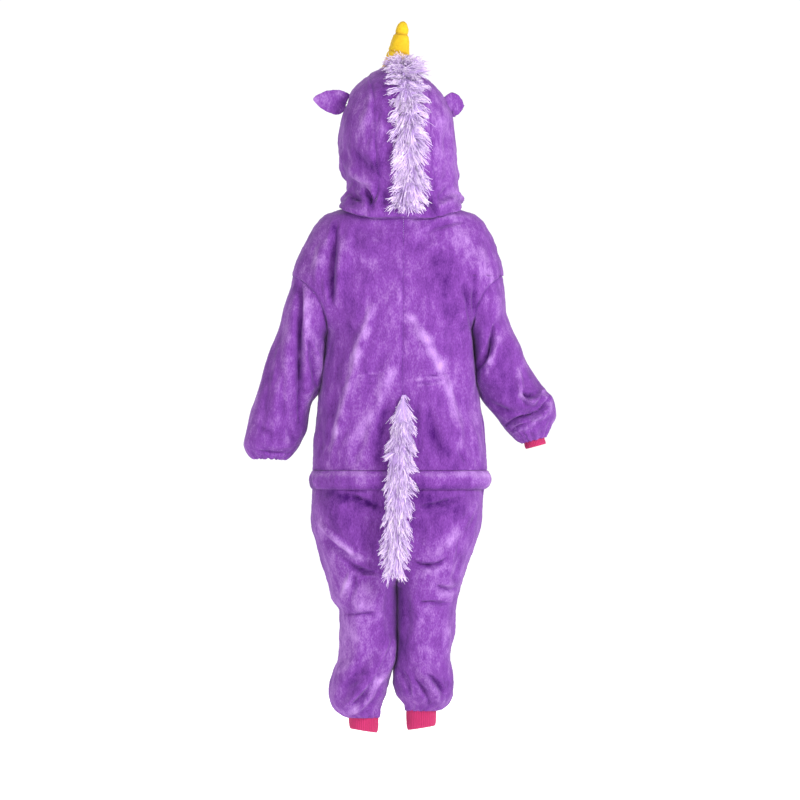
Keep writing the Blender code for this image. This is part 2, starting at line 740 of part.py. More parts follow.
@functools.lru_cache
def hood_side_grid(side, columns):
    """Rows rise from the neck to the top of the seam; columns run from the middle strip's back seam to the
    face opening, or to the same strip's front seam above it."""
    fine = np.linspace(150, HOOD_TOP_Z, 2000)
    top = fine[HOOD.at("half", fine) > GUSSET_HALF + 0.5].max()
    across = np.linspace(0, 1, columns)
    angle = across * math.pi
    grid = []
    for row, share in enumerate(HOOD_ROWS):
        for _ in range(12):
            z = lerp(hood_neck_z(angle), top, share)
            first = hood_angle_at(GUSSET_HALF, z[0])
            last = face_edge_angle(z[-1]) if row < FACE_ROW else math.pi - hood_angle_at(GUSSET_HALF, z[-1])
            angle = lerp(first, last, across)
        grid.append(hood_shell(sign_of(side) * angle, z))
    return np.array(grid)


def gusset_edge(side, columns):
    """The seam between the middle strip and a side of the hood, from the nape to the face opening."""
    grid = hood_side_grid(side, columns)
    return np.concatenate([grid[:, 0], grid[-1, 1:-1], grid[FACE_ROW:, -1][::-1]])


def gusset_line(offset, shares):
    """Points along the hood at a fixed distance from its middle, at these shares of the line's length."""
    sign = 1 if offset >= 0 else -1
    low = np.array(hood_neck_z(0.0) + 0.0)
    for _ in range(8):
        low = hood_neck_z(hood_angle_at(offset, low))
    heights = low + (HOOD_TOP_Z - low) * np.sin(np.linspace(0, 1, 900) * math.pi / 2)
    heights = heights[HOOD.at("half", heights) > abs(offset) + 0.2]
    behind = hood_shell(sign * hood_angle_at(offset, heights), heights)
    rim = gusset_edge("right", HOOD_COLUMNS)[-1][2]
    heights = heights[heights >= rim][::-1]
    ahead = hood_shell(sign * (math.pi - hood_angle_at(offset, heights)), heights)
    line = np.concatenate([behind, ahead])
    along = np.concatenate([[0], np.cumsum(np.linalg.norm(np.diff(line, axis=0), axis=1))])
    at = np.asarray(shares) * along[-1]
    return np.stack([np.interp(at, along, line[:, k]) for k in range(3)], axis=1)


@functools.lru_cache
def gusset_grid():
    """The middle strip of the hood: rows run from the nape over the top to the face, columns left to right."""
    left, right = (gusset_edge(side, HOOD_COLUMNS) for side in ("left", "right"))
    along = np.concatenate([[0], np.cumsum(np.linalg.norm(np.diff(right, axis=0), axis=1))])
    shares = along / along[-1]
    inner = [gusset_line(offset, shares) for offset in GUSSET_LINES[1:-1]]
    return np.stack([left] + inner + [right], axis=1)


def hood_normals():
    """Normals of the placed middle strip and of both sides, shared along their seams."""
    inside = np.array([-10, -8, 100])
    strip = hood_placed(gusset_grid())
    normals = {"strip": grid_normals(strip, False, inside)}
    for side, column in (("left", 0), ("right", -1)):
        placed = hood_placed(hood_side_grid(side, HOOD_COLUMNS))
        found = grid_normals(placed, False, inside)
        seam = np.concatenate([found[:, 0], found[-1, 1:-1], found[FACE_ROW:, -1][::-1]])
        shared = square_to(seam + normals["strip"][:, column], hood_across(strip[:, column]))
        normals["strip"][:, column] = shared
        rows, top = len(placed), HOOD_COLUMNS - 2
        found[:, 0] = shared[:rows]
        found[-1, 1:-1] = shared[rows : rows + top]
        found[FACE_ROW:, -1] = shared[rows + top :][::-1]
        normals[side] = found
    for key in normals:
        normals[key][0] = flattened(normals[key][0], (0, 0, 1))
    return normals


def hood(strip_name, side_names, material):
    normals = hood_normals()
    points = gusset_grid().copy()
    points[:, 0, 0] += SEAM / 2
    points[:, -1, 0] -= SEAM / 2
    points = hood_placed(points)
    add_wall(strip_name, points, points - normals["strip"] * CLOTH, material)
    for side, name in side_names.items():
        points = hood_side_grid(side, HOOD_COLUMNS).copy()
        away = sign_of(side) * SEAM / 2
        points[:, 0, 0] += away
        points[-1, 1:, 0] += away
        points[FACE_ROW:-1, -1, 0] += away
        points = hood_placed(points)
        add_wall(name, points, points - normals[side] * CLOTH, material)


def mane(name, material):
    """The reach of the fringe along the middle of the hood, from behind the horn down to the nape."""
    placed, normals = hood_placed(gusset_grid()), hood_normals()["strip"]
    rows = slice(MANE_FIRST_ROW, MANE_LAST_ROW)
    points, normals = placed[rows, 1:-1], normals[rows, 1:-1]
    share = np.linspace(0, 1, len(points))
    across = np.linspace(-1, 1, points.shape[1])
    height = 1.5 + MANE.at("height", share)[:, None] * (1 - across**2)[None, :] ** 0.5
    low = points + normals * LAID_ON
    return add_wall(name, low + normals * height[:, :, None], low, material)


def outside_hood(point):
    """Above 0 outside the hood's outer face, below 0 inside it."""
    x, y, z = point
    turn = -HOOD_TURN
    y -= HOOD_TURN_Y
    x, y = x * math.cos(turn) - y * math.sin(turn), x * math.sin(turn) + y * math.cos(turn) + HOOD_TURN_Y
    if z >= HOOD_TOP_Z:
        return 1
    half = max(float(HOOD.at("half", z)), 1e-3)
    depth = max(float(HOOD.at("back" if y < 0 else "front", z)), 1e-3)
    middle = float(HOOD.at("middle", z))
    return (abs(x - middle) / half) ** HOOD_ROUND + (abs(y) / depth) ** HOOD_ROUND - 1


def on_hood(point, axis):
    """Where a line from outside along an axis meets the hood."""
    near, far = -60.0, 60.0
    for _ in range(40):
        middle = (near + far) / 2
        if outside_hood(point + axis * middle) > 0:
            far = middle
        else:
            near = middle
    return point + axis * far


def loft(name, middles, across, depthways, half_widths, half_depths, around, material, foot_axis=None):
    """A closed form through elliptical rings, capped at both ends. With a foot axis it stands on the hood:
    its first rings are moved along the axis, and its lower cap follows the hood."""
    angles = np.arange(around) * 2 * math.pi / around
    rings = []
    for middle, half, deep in zip(middles, half_widths, half_depths):
        rings.append(middle + np.outer(np.cos(angles) * half, across) + np.outer(np.sin(angles) * deep, depthways))
    if foot_axis is not None:
        for number, ring in enumerate(rings[:5]):
            feet = np.array([on_hood(p, foot_axis) for p in ring])
            above = (ring - feet) @ foot_axis if number else np.zeros(around)
            rings[number] = feet + np.maximum(above, SEAM + 2 * number)[:, None] * foot_axis
        for share in (0.6, 0.2):
            ring = middles[0] + (rings[1] - rings[1].mean(axis=0)) * share
            rings.insert(0, np.array([on_hood(p, foot_axis) for p in ring]) + foot_axis * SEAM)
    vertices = np.concatenate(rings)
    faces = []
    for r in range(len(rings) - 1):
        for c in range(around):
            d = (c + 1) % around
            faces.append([r * around + c, r * around + d, (r + 1) * around + d, (r + 1) * around + c])
    faces.append(list(range(around))[::-1])
    faces.append([(len(rings) - 1) * around + c for c in range(around)])
    return add_object(name, vertices, faces, material)


def tail(name, rings, around, material):
    heights = np.linspace(TAIL.rows[-1, 0], TAIL.rows[0, 0], rings)
    middles = np.stack([TAIL.at("x", heights), TAIL.at("y", heights), heights], axis=1)
    return loft(
        name, middles, (1, 0, 0), (0, 1, 0), TAIL.at("half_width", heights), TAIL.at("half_depth", heights),
        around, material,
    )


def horn(name, rings, around, material):
    base, tip = np.array(HORN_BASE, float), np.array(HORN_TIP, float)
    axis = (tip - base) / np.linalg.norm(tip - base)
    across = np.cross(axis, [0, 1, 0])
    across /= np.linalg.norm(across)
    share = np.linspace(0, 1, rings)
    radii = HORN.at("radius", share)
    middles = base + share[:, None] * (tip - base)
    middles[0] -= axis * 4
    return loft(name, middles, across, np.cross(axis, across), radii, radii, around, material, axis)


def ear(name, side, rings, around, material):
    """A leaf-shaped ear, stuffed flat, standing out from the side of the hood."""
    root, tip, half, thick = EARS[side]
    root, tip = np.array(root, float), np.array(tip, float)
    axis = (tip - root) / np.linalg.norm(tip - root)
    upright = flattened(np.array([[0, 0, 1.0]]), axis)[0]
    share = np.linspace(0, 1, rings)
    leaf = (np.sin(math.pi * (0.22 + 0.75 * share)) ** 0.7) * half
    fat = (1 - 0.6 * share) * thick / 2
    middles = root + share[:, None] * (tip - root)
    return loft(name, middles, upright, np.cross(axis, upright), leaf, fat, around, material, axis)


def front_height(x, z):
    """y of the front panels' outer face at x, near the middle of the garment."""
    side = "left" if x < float(CENTRE.at("x", z)) else "right"
    z = np.array(z, float)
    point = shell(side, "front", side_angle(side, x, z), z)
    return float(point[1]) * (1 - float(leg_share(np.array(0.0), z))) + fold_height(np.array(x, float), z) * MIRRORED_FRONT_FOLDS


def placket(name, rows, columns, material):
    """A flat strip over the front opening, from the neck to below the seat line."""
    points = []
    for z in np.linspace(PLACKET_TOP_Z, PLACKET_BOTTOM_Z, rows):
        centre = float(CENTRE.at("x", z))
        line = [centre + a * PLACKET_HALF for a in np.linspace(-1, 1, columns)]
        points.append([[x, front_height(x, z) + LAID_ON, z] for x in line])
    points = np.array(points)
    normals = grid_normals(points, False, points * [0, 0, 1])
    low = points
    return add_wall(name, low + normals * CLOTH, low, material)


def button(name, z, material):
    """A flat sew-on button with a rounded rim."""
    centre = float(CENTRE.at("x", z))
    ahead = front_height(centre, z) + LAID_ON + CLOTH + 0.7
    mesh = bpy.data.meshes.new(name)
    shape = bmesh.new()
    bmesh.ops.create_cone(
        shape, cap_ends=True, segments=16, radius1=BUTTON_RADIUS * MM, radius2=BUTTON_RADIUS * MM,
        depth=BUTTON_THICK * MM,
    )
    shape.to_mesh(mesh)
    shape.free()
    mesh.materials.append(material)
    made = bpy.data.objects.new(name, mesh)
    made.location = (centre * MM, (ahead + BUTTON_THICK / 2) * MM, z * MM)
    slope = (front_height(centre, z + 10) - front_height(centre, z - 10)) / 20
    made.rotation_euler = (-math.pi / 2 - math.atan(slope), 0, 0)
    rim = made.modifiers.new("rim", "BEVEL")
    rim.width = 0.8 * MM
    rim.segments = 1
    bpy.context.scene.collection.objects.link(made)
    return made


def finish(name, colour, roughness):
    material = bpy.data.materials.new(name)
    material.use_nodes = True
    shader = material.node_tree.nodes["Principled BSDF"]
    shader.inputs["Base Color"].default_value = (*colour, 1)
    shader.inputs["Roughness"].default_value = roughness
    shader.inputs["Metallic"].default_value = 0
    return material


def main():
    for old in list(bpy.data.objects):
        bpy.data.objects.remove(old)
    plush = finish("purple_plush", (0.28, 0.09, 0.5), 0.9)
    fringe = finish("lilac_fringe", (0.55, 0.39, 0.72), 0.85)
    gold = finish("yellow_felt", (0.9, 0.6, 0.02), 0.8)
    rib = finish("pink_rib", (0.62, 0.03, 0.15), 0.85)
    shell_button = finish("purple_button", (0.2, 0.06, 0.4), 0.35)
    floor = -10_000
    for side in ("left", "right"):
        panel(f"back_{side}", side, "back", 10, SEAT_TOP_Z, 7, plush)
        panel(f"leg_back_{side}", side, "back", SEAT_PANEL_TOP_Z, floor, 7, plush)
        panel(f"front_{side}", side, "front", 10, floor, 7, plush)
        sleeve(f"sleeve_{side}", side, SLEEVE_AROUND, [1, 2, 3.2, 4.4, 5.6, 6.8, 8, 9, 10, 11, 12], plush)
        ear(f"ear_{side}", side, 6, 12, plush)
    wrist_cuff("wrist_cuff_left", "left", -2, 22, rib, 16)
    wrist_cuff("wrist_cuff_right", "right", 12, 14, rib, 16)
    ankle_cuff("ankle_cuff_left", "left", 24, 8, rib, 20)
    ankle_cuff("ankle_cuff_right", "right", 32, 8, rib, 20)
    seat_band("seat_band", 15, plush)
    hood("hood_gusset", {side: f"hood_{side}" for side in ("left", "right")}, plush)
    mane("mane", fringe)
    tail("tail", 12, 14, fringe)
    horn("horn", 12, 14, gold)
    placket("placket", 13, 3, plush)
    spacing = (PLACKET_BOTTOM_Z - PLACKET_TOP_Z) / BUTTON_COUNT
    for number in range(BUTTON_COUNT):
        button(f"button_{number + 1}", PLACKET_TOP_Z + spacing * (number + 0.5), shell_button)


main()
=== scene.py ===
# Child's hooded plush onesie with a unicorn hood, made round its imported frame.
# Sizes are millimetres until a mesh is made. +X is the wearer's right and +Y the way the wearer faces.
import functools
import math

import bmesh
import bpy
import numpy as np
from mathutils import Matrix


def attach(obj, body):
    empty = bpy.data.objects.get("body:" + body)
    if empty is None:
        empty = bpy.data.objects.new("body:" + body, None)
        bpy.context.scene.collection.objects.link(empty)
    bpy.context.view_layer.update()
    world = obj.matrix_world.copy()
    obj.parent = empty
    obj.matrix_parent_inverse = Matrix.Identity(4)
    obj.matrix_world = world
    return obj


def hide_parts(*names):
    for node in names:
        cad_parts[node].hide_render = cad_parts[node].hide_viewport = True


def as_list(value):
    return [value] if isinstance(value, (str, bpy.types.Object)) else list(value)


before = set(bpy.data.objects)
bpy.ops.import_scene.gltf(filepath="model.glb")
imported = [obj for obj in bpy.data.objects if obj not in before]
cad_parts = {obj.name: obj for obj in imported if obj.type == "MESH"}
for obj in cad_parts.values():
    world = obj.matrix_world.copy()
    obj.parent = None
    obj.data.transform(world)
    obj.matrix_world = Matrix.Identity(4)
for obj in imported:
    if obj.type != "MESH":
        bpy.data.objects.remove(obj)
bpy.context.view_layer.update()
print("frame loaded")

mm = 0.001
sides = ("left", "right")
seamGap = 0.2  # between pieces that are sewn together
laidOn = 0.8  # under a piece that lies on a panel
creaseDepth = 2.2  # scale of every crease's depth in the tables


# small tools


class Table:
    # rows of sizes with named columns; a column is read smoothly between its rows
    def __init__(self, columns, *rows):
        self.names = columns.split()
        self.rows = np.array(sorted(rows), float)

    def at(self, column, key):
        x = self.rows[:, 0]
        y = self.rows[:, self.names.index(column)]
        step = np.diff(x)
        slope = np.diff(y) / step
        tangent = np.zeros_like(y)
        sameWay = slope[:-1] * slope[1:] > 0
        pair = slope[:-1] + slope[1:]
        tangent[1:-1] = np.where(sameWay, 2 * slope[:-1] * slope[1:] / np.where(sameWay, pair, 1), 0)
        tangent[0], tangent[-1] = slope[0], slope[-1]
        key = np.clip(np.asarray(key, float), x[0], x[-1])
        i = np.clip(np.searchsorted(x, key) - 1, 0, len(x) - 2)
        t = (key - x[i]) / step[i]
        return (
            y[i] * (2 * t**3 - 3 * t**2 + 1)
            + tangent[i] * step[i] * (t**3 - 2 * t**2 + t)
            + y[i + 1] * (3 * t**2 - 2 * t**3)
            + tangent[i + 1] * step[i] * (t**3 - t**2)
        )


def lerp(a, b, t):
    return a + (b - a) * t


def signOf(side):
    return -1 if side == "left" else 1


def unit(vectors):
    return vectors / np.maximum(np.linalg.norm(vectors, axis=-1, keepdims=True), 1e-9)


def powerCos(angle, power):
    # cos and sin bent so that they trace a superellipse
    c, s = np.cos(angle), np.sin(angle)
    return np.sign(c) * np.abs(c) ** (2 / power), np.sign(s) * np.abs(s) ** (2 / power)


def softNoise(points, size, seed, waves=16):
    # smooth, seeded unevenness from about -1 to 1, with bumps of about this size
    draw = np.random.default_rng(seed)
    ways = unit(draw.normal(size=(waves, 3))) * draw.uniform(0.6, 1.5, (waves, 1))
    phase = draw.uniform(0, 2 * math.pi, waves)
    return np.sin(points @ ways.T * (2 * math.pi / size) + phase).sum(axis=-1) * math.sqrt(2 / waves) / 1.4


def alongLine(u, v, line):
    # a line's length, and each place's share along it and distance off it
    u0, v0, u1, v1 = line
    length = max(math.hypot(u1 - u0, v1 - v0), 1)
    along = ((u - u0) * (u1 - u0) + (v - v0) * (v1 - v0)) / length**2
    off = ((u - u0) * (v1 - v0) - (v - v0) * (u1 - u0)) / length
    return length, along, off


def creaseLift(u, v, table):
    # soft troughs and ridges between two places; each is bent a little and runs out at its ends
    total = np.zeros_like(u)
    for *line, bend, width, depth in table.rows:
        length, along, off = alongLine(u, v, line)
        inside = np.clip(along, 0, 1)
        off = (off - bend * 4 * inside * (1 - inside)) / (width * (0.55 + 0.45 * np.sin(math.pi * inside)))
        past = (along - inside) * length / width
        taper = np.sin(math.pi * (0.08 + 0.84 * inside)) ** 0.8 * np.exp(-(past**2))
        beside = 0.35 * np.exp(-(((np.abs(off) - 1.9) / 0.9) ** 2))
        total += depth * taper * (np.exp(-(off**2)) - beside)
    return total * creaseDepth


def within(z, heights, soft):
    # 1 between two heights, fading out at both
    return np.clip((heights[0] - z) / soft, 0, 1) * np.clip((z - heights[1]) / 40, 0, 1)


def patches(u, v, table):
    # how much lighter or darker the colour lies in soft, elongated places: the nap's own patches, and
    # painted highlight and painted shade where the tables follow folds
    total = np.zeros_like(u)
    for *line, width, amount in table.rows:
        length, along, off = alongLine(u, v, line)
        past = (along - np.clip(along, 0, 1)) * length
        spread = width * 1.35
        total += amount * np.exp(-((off / spread) ** 2) - (past / spread) ** 2)
    return total


def gridNormals(points, wrap, outwardsFrom):
    if wrap:
        padded = np.concatenate([points[:, -1:], points, points[:, :1]], axis=1)
        across = (padded[:, 2:] - padded[:, :-2]) / 2
    else:
        across = np.gradient(points, axis=1)
    normals = unit(np.cross(across, np.gradient(points, axis=0)))
    return -normals if (normals * (points - outwardsFrom)).sum() < 0 else normals


def flattened(normals, axis):
    # normals with no part along an axis, so that pieces that meet share one edge
    axis = unit(np.array(axis, float))
    return unit(normals - (normals @ axis)[..., None] * axis)


def arcs(points, axis):
    # distance along the rows or the columns of a grid
    steps = np.linalg.norm(np.diff(points, axis=axis), axis=2)
    start = np.zeros_like(points[:1, :, 0] if axis == 0 else points[:, :1, 0])
    return np.concatenate([start, np.cumsum(steps, axis=axis)], axis=axis)


def edgeDistance(points, edges):
    # distance of each place of a grid from its nearest named edge
    across, down = arcs(points, 1), arcs(points, 0)
    reach = {"first": across, "last": across[:, -1:] - across, "top": down, "bottom": down[-1:] - down}
    return np.min([reach[edge] for edge in edges], axis=0)


def cutSize(points, wrap=False):
    # width, length and area of a grid of cloth as it was cut, in metres
    closed = np.concatenate([points, points[:, :1]], axis=1) if wrap else points
    width, length = arcs(closed, 1)[:, -1].max(), arcs(closed, 0)[-1].max()
    a, b, c, d = closed[:-1, :-1], closed[:-1, 1:], closed[1:, 1:], closed[1:, :-1]
    area = np.linalg.norm(np.cross(c - a, d - b), axis=2).sum() / 2
    width, length = max(width, area / length) * mm, length * mm
    return width, length, min(area * mm * mm, width * length)


def addObject(name, data):
    made = bpy.data.objects.new(name, data)
    bpy.context.scene.collection.objects.link(made)
    return made


def addMesh(name, vertices, faces, material, attributes=None, sharp=None):
    mesh = bpy.data.meshes.new(name)
    mesh.from_pydata((np.asarray(vertices) * mm).tolist(), [], [list(f) for f in faces])
    mesh.materials.append(material)
    mesh.shade_smooth()
    if sharp:
        mesh.set_sharp_from_angle(angle=math.radians(sharp))
    for key, values in (attributes or {}).items():
        values = np.asarray(values, np.float32)
        kind, field = ("FLOAT_VECTOR", "vector") if values.ndim == 2 else ("FLOAT", "value")
        mesh.attributes.new(key, kind, "POINT").data.foreach_set(field, values.ravel())
    return addObject(name, mesh)


def gridQuads(rows, columns, wrap):
    index = np.arange(rows * columns).reshape(rows, columns)
    if wrap:
        index = np.concatenate([index, index[:, :1]], axis=1)
    quads = np.stack([index[:-1, :-1], index[:-1, 1:], index[1:, 1:], index[1:, :-1]], axis=-1)
    return index, quads.reshape(-1, 4)


def turnedOut(vertices, faces):
    # the faces, reversed if the closed shape is inside out
    a, b, c, d = (vertices[faces[:, k]] for k in range(4))
    volume = (a * (np.cross(b, c) + np.cross(c, d))).sum()
    return faces if volume > 0 else faces[:, ::-1]


def clothShell(name, outer, inner, material, wrap=False, attributes=None, sharp=55):
    # a closed thin shell between two grids of the same size
    rows, columns = outer.shape[:2]
    index, quads = gridQuads(rows, columns, wrap)
    count = rows * columns
    rims = [index[0], index[-1][::-1]]
    if not wrap:
        rims += [index[::-1, 0], index[:, -1]]
    faces = [quads, quads[:, ::-1] + count]
    for rim in rims:
        faces.append(np.stack([rim[:-1] + count, rim[1:] + count, rim[1:], rim[:-1]], axis=1))
    vertices = np.concatenate([outer.reshape(-1, 3), inner.reshape(-1, 3)])
    faces = turnedOut(vertices, np.concatenate(faces))
    both = {}
    for key, values in (attributes or {}).items():
        flat = values.reshape(count, -1)
        both[key] = np.concatenate([flat, flat]).squeeze()
    return addMesh(name, vertices, faces, material, both, sharp)


def dress(piece, slot, *nodes):
    # every piece goes with the one rigid body and stands for its frame nodes
    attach(piece, "root")
    if nodes:
        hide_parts(*nodes)
    return piece


class Link:
    # a node's socket; sums with it add Math nodes
    def __init__(self, maker, socket):
        self.maker = maker
        self.socket = socket

    def calc(self, operation, first, second):
        return self.maker.add("ShaderNodeMath", {"operation": operation}, {0: first, 1: second})

    def other(self, name):
        return Link(self.maker, self.socket.node.outputs[name])

    def __add__(self, other):
        return self.calc("ADD", self, other)

    def __radd__(self, other):
        return self.calc("ADD", other, self)

    def __sub__(self, other):
        return self.calc("SUBTRACT", self, other)

    def __rsub__(self, other):
        return self.calc("SUBTRACT", other, self)

    def __mul__(self, other):
        return self.calc("MULTIPLY", self, other)

    def __rmul__(self, other):
        return self.calc("MULTIPLY", other, self)

    def __pow__(self, other):
        return self.calc("POWER", self, other)


class Maker:
    # adds nodes to a shader or geometry tree
    def __init__(self, tree):
        self.tree = tree

    def add(self, kind, settings, values, out=0):
        node = self.tree.nodes.new(kind)
        for key, value in settings.items():
            if key == "stops":
                for spot, (place, colour) in enumerate(value):
                    ramp = node.color_ramp.elements
                    stop = ramp[spot] if spot < 2 else ramp.new(place)
                    stop.position = place
                    stop.color = (*colour, 1)
            else:
                setattr(node, key, value)
        for key, value in values.items():
            self.feed(node.inputs[key], value)
        return Link(self, node.outputs[out]) if node.outputs else None

    def feed(self, socket, value):
        if isinstance(value, Link):
            self.tree.links.new(value.socket, socket)
        else:
            socket.default_value = value

    def noise(self, place, scale, detail=2, roughness=0.55):
        return self.add(
            "ShaderNodeTexNoise", {},
            {"Vector": place, "Scale": scale, "Detail": detail, "Roughness": roughness},
        )

    def stretched(self, place, scale):
        return self.add("ShaderNodeVectorMath", {"operation": "MULTIPLY"}, {0: place, 1: scale})

    def ramp(self, factor, *stops):
        return self.add("ShaderNodeValToRGB", {"stops": stops}, {0: factor})


class Paint(Maker):
    # one material; its constants are set straight on the shader
    def __init__(self, name, **constants):
        self.material = bpy.data.materials.new(name)
        self.material.use_nodes = True
        super().__init__(self.material.node_tree)
        self.shader = self.tree.nodes["Principled BSDF"]
        for key, value in constants.items():
            self.shader.inputs[key.replace("_", " ")].default_value = value
        self.place = self.add("ShaderNodeTexCoord", {}, {}, "Object")

    def cover(self, colour, height, strength, distance, roughness=None):
        bump = self.add(
            "ShaderNodeBump", {}, {"Height": height, "Strength": strength, "Distance": distance},
        )
        self.feed(self.shader.inputs["Normal"], bump)
        self.feed(self.shader.inputs["Base Color"], colour)
        if roughness is not None:
            self.feed(self.shader.inputs["Roughness"], roughness)
        return self.material

    def attribute(self, name):
        return self.add("ShaderNodeAttribute", {"attribute_name": name}, {}, "Fac")


# materials

plushLook = {
    "deep": (0.05, 0.003, 0.12),  # nap brushed away, and painted shade in creases, by seams and between parts
    "middle": (0.185, 0.048, 0.31),
    "light": (0.5, 0.28, 0.66),  # nap brushed up, and painted highlight on fold ridges
    "patchScale": 11,  # soft brushed patches, per metre
    "strandScale": 95,
    "pileScale": 520,
}


def plushMaterial():
    paint = Paint("plush", Roughness=0.95, Sheen_Weight=0.18, Sheen_Roughness=0.45)
    paint.shader.inputs["Sheen Tint"].default_value = (0.86, 0.68, 1, 1)
    paint.shader.inputs["Specular IOR Level"].default_value = 0.15
    down = paint.stretched(paint.place, (1, 1, 0.42))
    broad = paint.noise(down, plushLook["patchScale"], 3, 0.5)
    strands = paint.noise(down, plushLook["strandScale"], 3, 0.6)
    pile = paint.noise(down, plushLook["pileScale"], 2, 0.6)
    napAndPaintedLight = paint.attribute("toneAndPaintedLight")
    # the tone adds the attribute's painted highlight on ridges and painted shade in creases and by seams to
    # the nap's random patches
    tone = 0.45 + napAndPaintedLight * 0.32 + (broad - 0.5) * 0.42 + (strands - 0.5) * 0.5 + (pile - 0.5) * 0.55
    colour = paint.ramp(
        tone, (0.03, plushLook["deep"]), (0.97, plushLook["light"]), (0.47, plushLook["middle"]),
    )
    height = strands * 0.55 + pile * 0.6 + broad * 0.4
    return paint.cover(colour, height, 0.7, 0.0022)


yarnLook = {"shade": (0.5, 0.33, 0.68), "body": (0.87, 0.7, 0.97), "tip": (0.98, 0.9, 1.0)}


def yarnMaterial():
    paint = Paint("lilacYarn", Roughness=0.8, Sheen_Weight=0.4, Sheen_Roughness=0.4)
    paint.shader.inputs["Specular IOR Level"].default_value = 0.25
    along = paint.attribute("along")
    tint = paint.attribute("tint")
    twist = paint.noise(paint.place, 900, 2)
    # darker towards each strand's root: painted shade among the strands
    tone = along * 0.55 + tint * 0.4 + (twist - 0.5) * 0.5
    colour = paint.ramp(tone, (0.02, yarnLook["shade"]), (0.95, yarnLook["tip"]), (0.42, yarnLook["body"]))
    return paint.cover(colour, twist, 0.5, 0.0006)


feltLook = {"deep": (0.42, 0.22, 0.001), "middle": (0.66, 0.41, 0.002), "light": (0.8, 0.56, 0.01)}


def feltMaterial():
    paint = Paint("goldFelt", Roughness=0.85, Sheen_Weight=0.12, Sheen_Roughness=0.4)
    paint.shader.inputs["Sheen Tint"].default_value = (1, 0.93, 0.6, 1)
    broad = paint.noise(paint.place, 45, 2)
    pile = paint.noise(paint.place, 700, 3, 0.6)
    # the attribute darkens the horn's grooves: painted shade
    groove = paint.attribute("toneAndPaintedLight")
    tone = 0.52 + (broad - 0.5) * 0.7 + (pile - 0.5) * 0.6 + groove * 0.5
    colour = paint.ramp(tone, (0.1, feltLook["deep"]), (0.95, feltLook["light"]), (0.5, feltLook["middle"]))
    return paint.cover(colour, pile + broad * 0.5, 0.6, 0.0012)


ribLook = {"deep": (0.16, 0.001, 0.035), "middle": (0.39, 0.006, 0.082), "light": (0.52, 0.02, 0.14)}


def ribMaterial():
    paint = Paint("pinkRib", Roughness=0.85, Sheen_Weight=0.1, Sheen_Roughness=0.5)
    # the attribute is lighter on the raised ribs and darker between them: painted light and shade
    rib = paint.attribute("toneAndPaintedLight")
    fine = paint.noise(paint.stretched(paint.place, (1, 1, 2.2)), 520, 2)
    broad = paint.noise(paint.place, 30, 2)
    tone = 0.2 + rib * 0.45 + (fine - 0.5) * 0.5 + (broad - 0.5) * 0.4 + 0.15
    colour = paint.ramp(tone, (0.05, ribLook["deep"]), (0.9, ribLook["light"]), (0.45, ribLook["middle"]))
    return paint.cover(colour, fine, 0.6, 0.0008)


def buttonMaterial():
    paint = Paint("purpleButton", Roughness=0.32, Coat_Weight=0.3)
    swirl = paint.noise(paint.stretched(paint.place, (1, 1, 3)), 120, 4)
    colour = paint.ramp(swirl, (0.25, (0.09, 0.018, 0.21)), (0.75, (0.26, 0.09, 0.46)))
    return paint.cover(colour, swirl, 0.1, 0.0004)


def threadMaterial():
    paint = Paint("purpleThread", Roughness=0.6)
    twist = paint.noise(paint.place, 1500, 2)
    colour = paint.ramp(twist, (0.3, (0.07, 0.012, 0.19)), (0.8, (0.22, 0.075, 0.42)))
    return paint.cover(colour, twist, 0.4, 0.0003)


plush = plushMaterial()
yarn = yarnMaterial()
gold = feltMaterial()
ribKnit = ribMaterial()
buttonFinish = buttonMaterial()
thread = threadMaterial()
print("materials made")


# the body: back, front and leg panels

bodyLook = {
    "cloth": 2.3,  # plush with its backing
    "step": 3.6,  # distance between the rows of a panel
    "columns": 66,
    "round": 2.4,
    "legRound": 2.2,
    "underArm": 3.4,  # how far the side fills out under the arm
    "underArmZ": (-165, -372),
    "betweenLegs": 2.6,
    "betweenLegsZ": (-655, -885),
    "shoulderRows": 36,  # from the neck to the top of the arm
    "armRows": 42,  # from there to the armpit
    "gathers": 44,  # how closely a leg's end is gathered, and how deep
    "gatherDepth": 1.5,
    "pinch": 1.3,  # how far a seam draws the cloth in
    "pinchWidth": 4.5,
    "pucker": 0.5,
}
neckSideZ = 6
neckDepth = {"back": 88, "front": 90}
neckRound = 3
neckGap = 2
crotchZ = -695
crotchCurve = 120
legBlend = 190
seatTopZ = -479
seatBottomZ = -515
seatPanelTopZ = -486
seatTuck = 7
toLegEnd = -2000  # lower than any leg's end, where a panel stops by itself

bodyTable = Table(
    "z left right back front",
    (6, 110, 104, 78, 72), (-6, 147, 137, 86, 79), (-28, 168, 156, 96, 87), (-50, 179, 167, 103, 93),
    (-72, 190, 175, 108, 98), (-95, 200, 183, 112, 102), (-117, 206, 186, 115, 105),
    (-150, 201, 181, 117, 108), (-190, 172, 158, 118, 110), (-225, 141, 131, 118, 111),
    (-270, 145, 132, 117, 112), (-320, 151, 136, 116, 113), (-362, 158, 143, 117, 114),
    (-407, 165, 151, 121, 116), (-451, 167, 155, 126, 118), (-479, 167, 156, 129, 119),
    (-520, 169, 151, 130, 119), (-563, 171, 147, 128, 117), (-585, 170, 144, 125.5, 115.5),
    (-607, 164, 138, 122, 113), (-652, 151, 122, 114, 108), (-695, 138, 107, 106, 101),
)
centreTable = Table("z x", (6, 1), (-200, 0), (-479, -3), (-640, -11), (-700, -11))
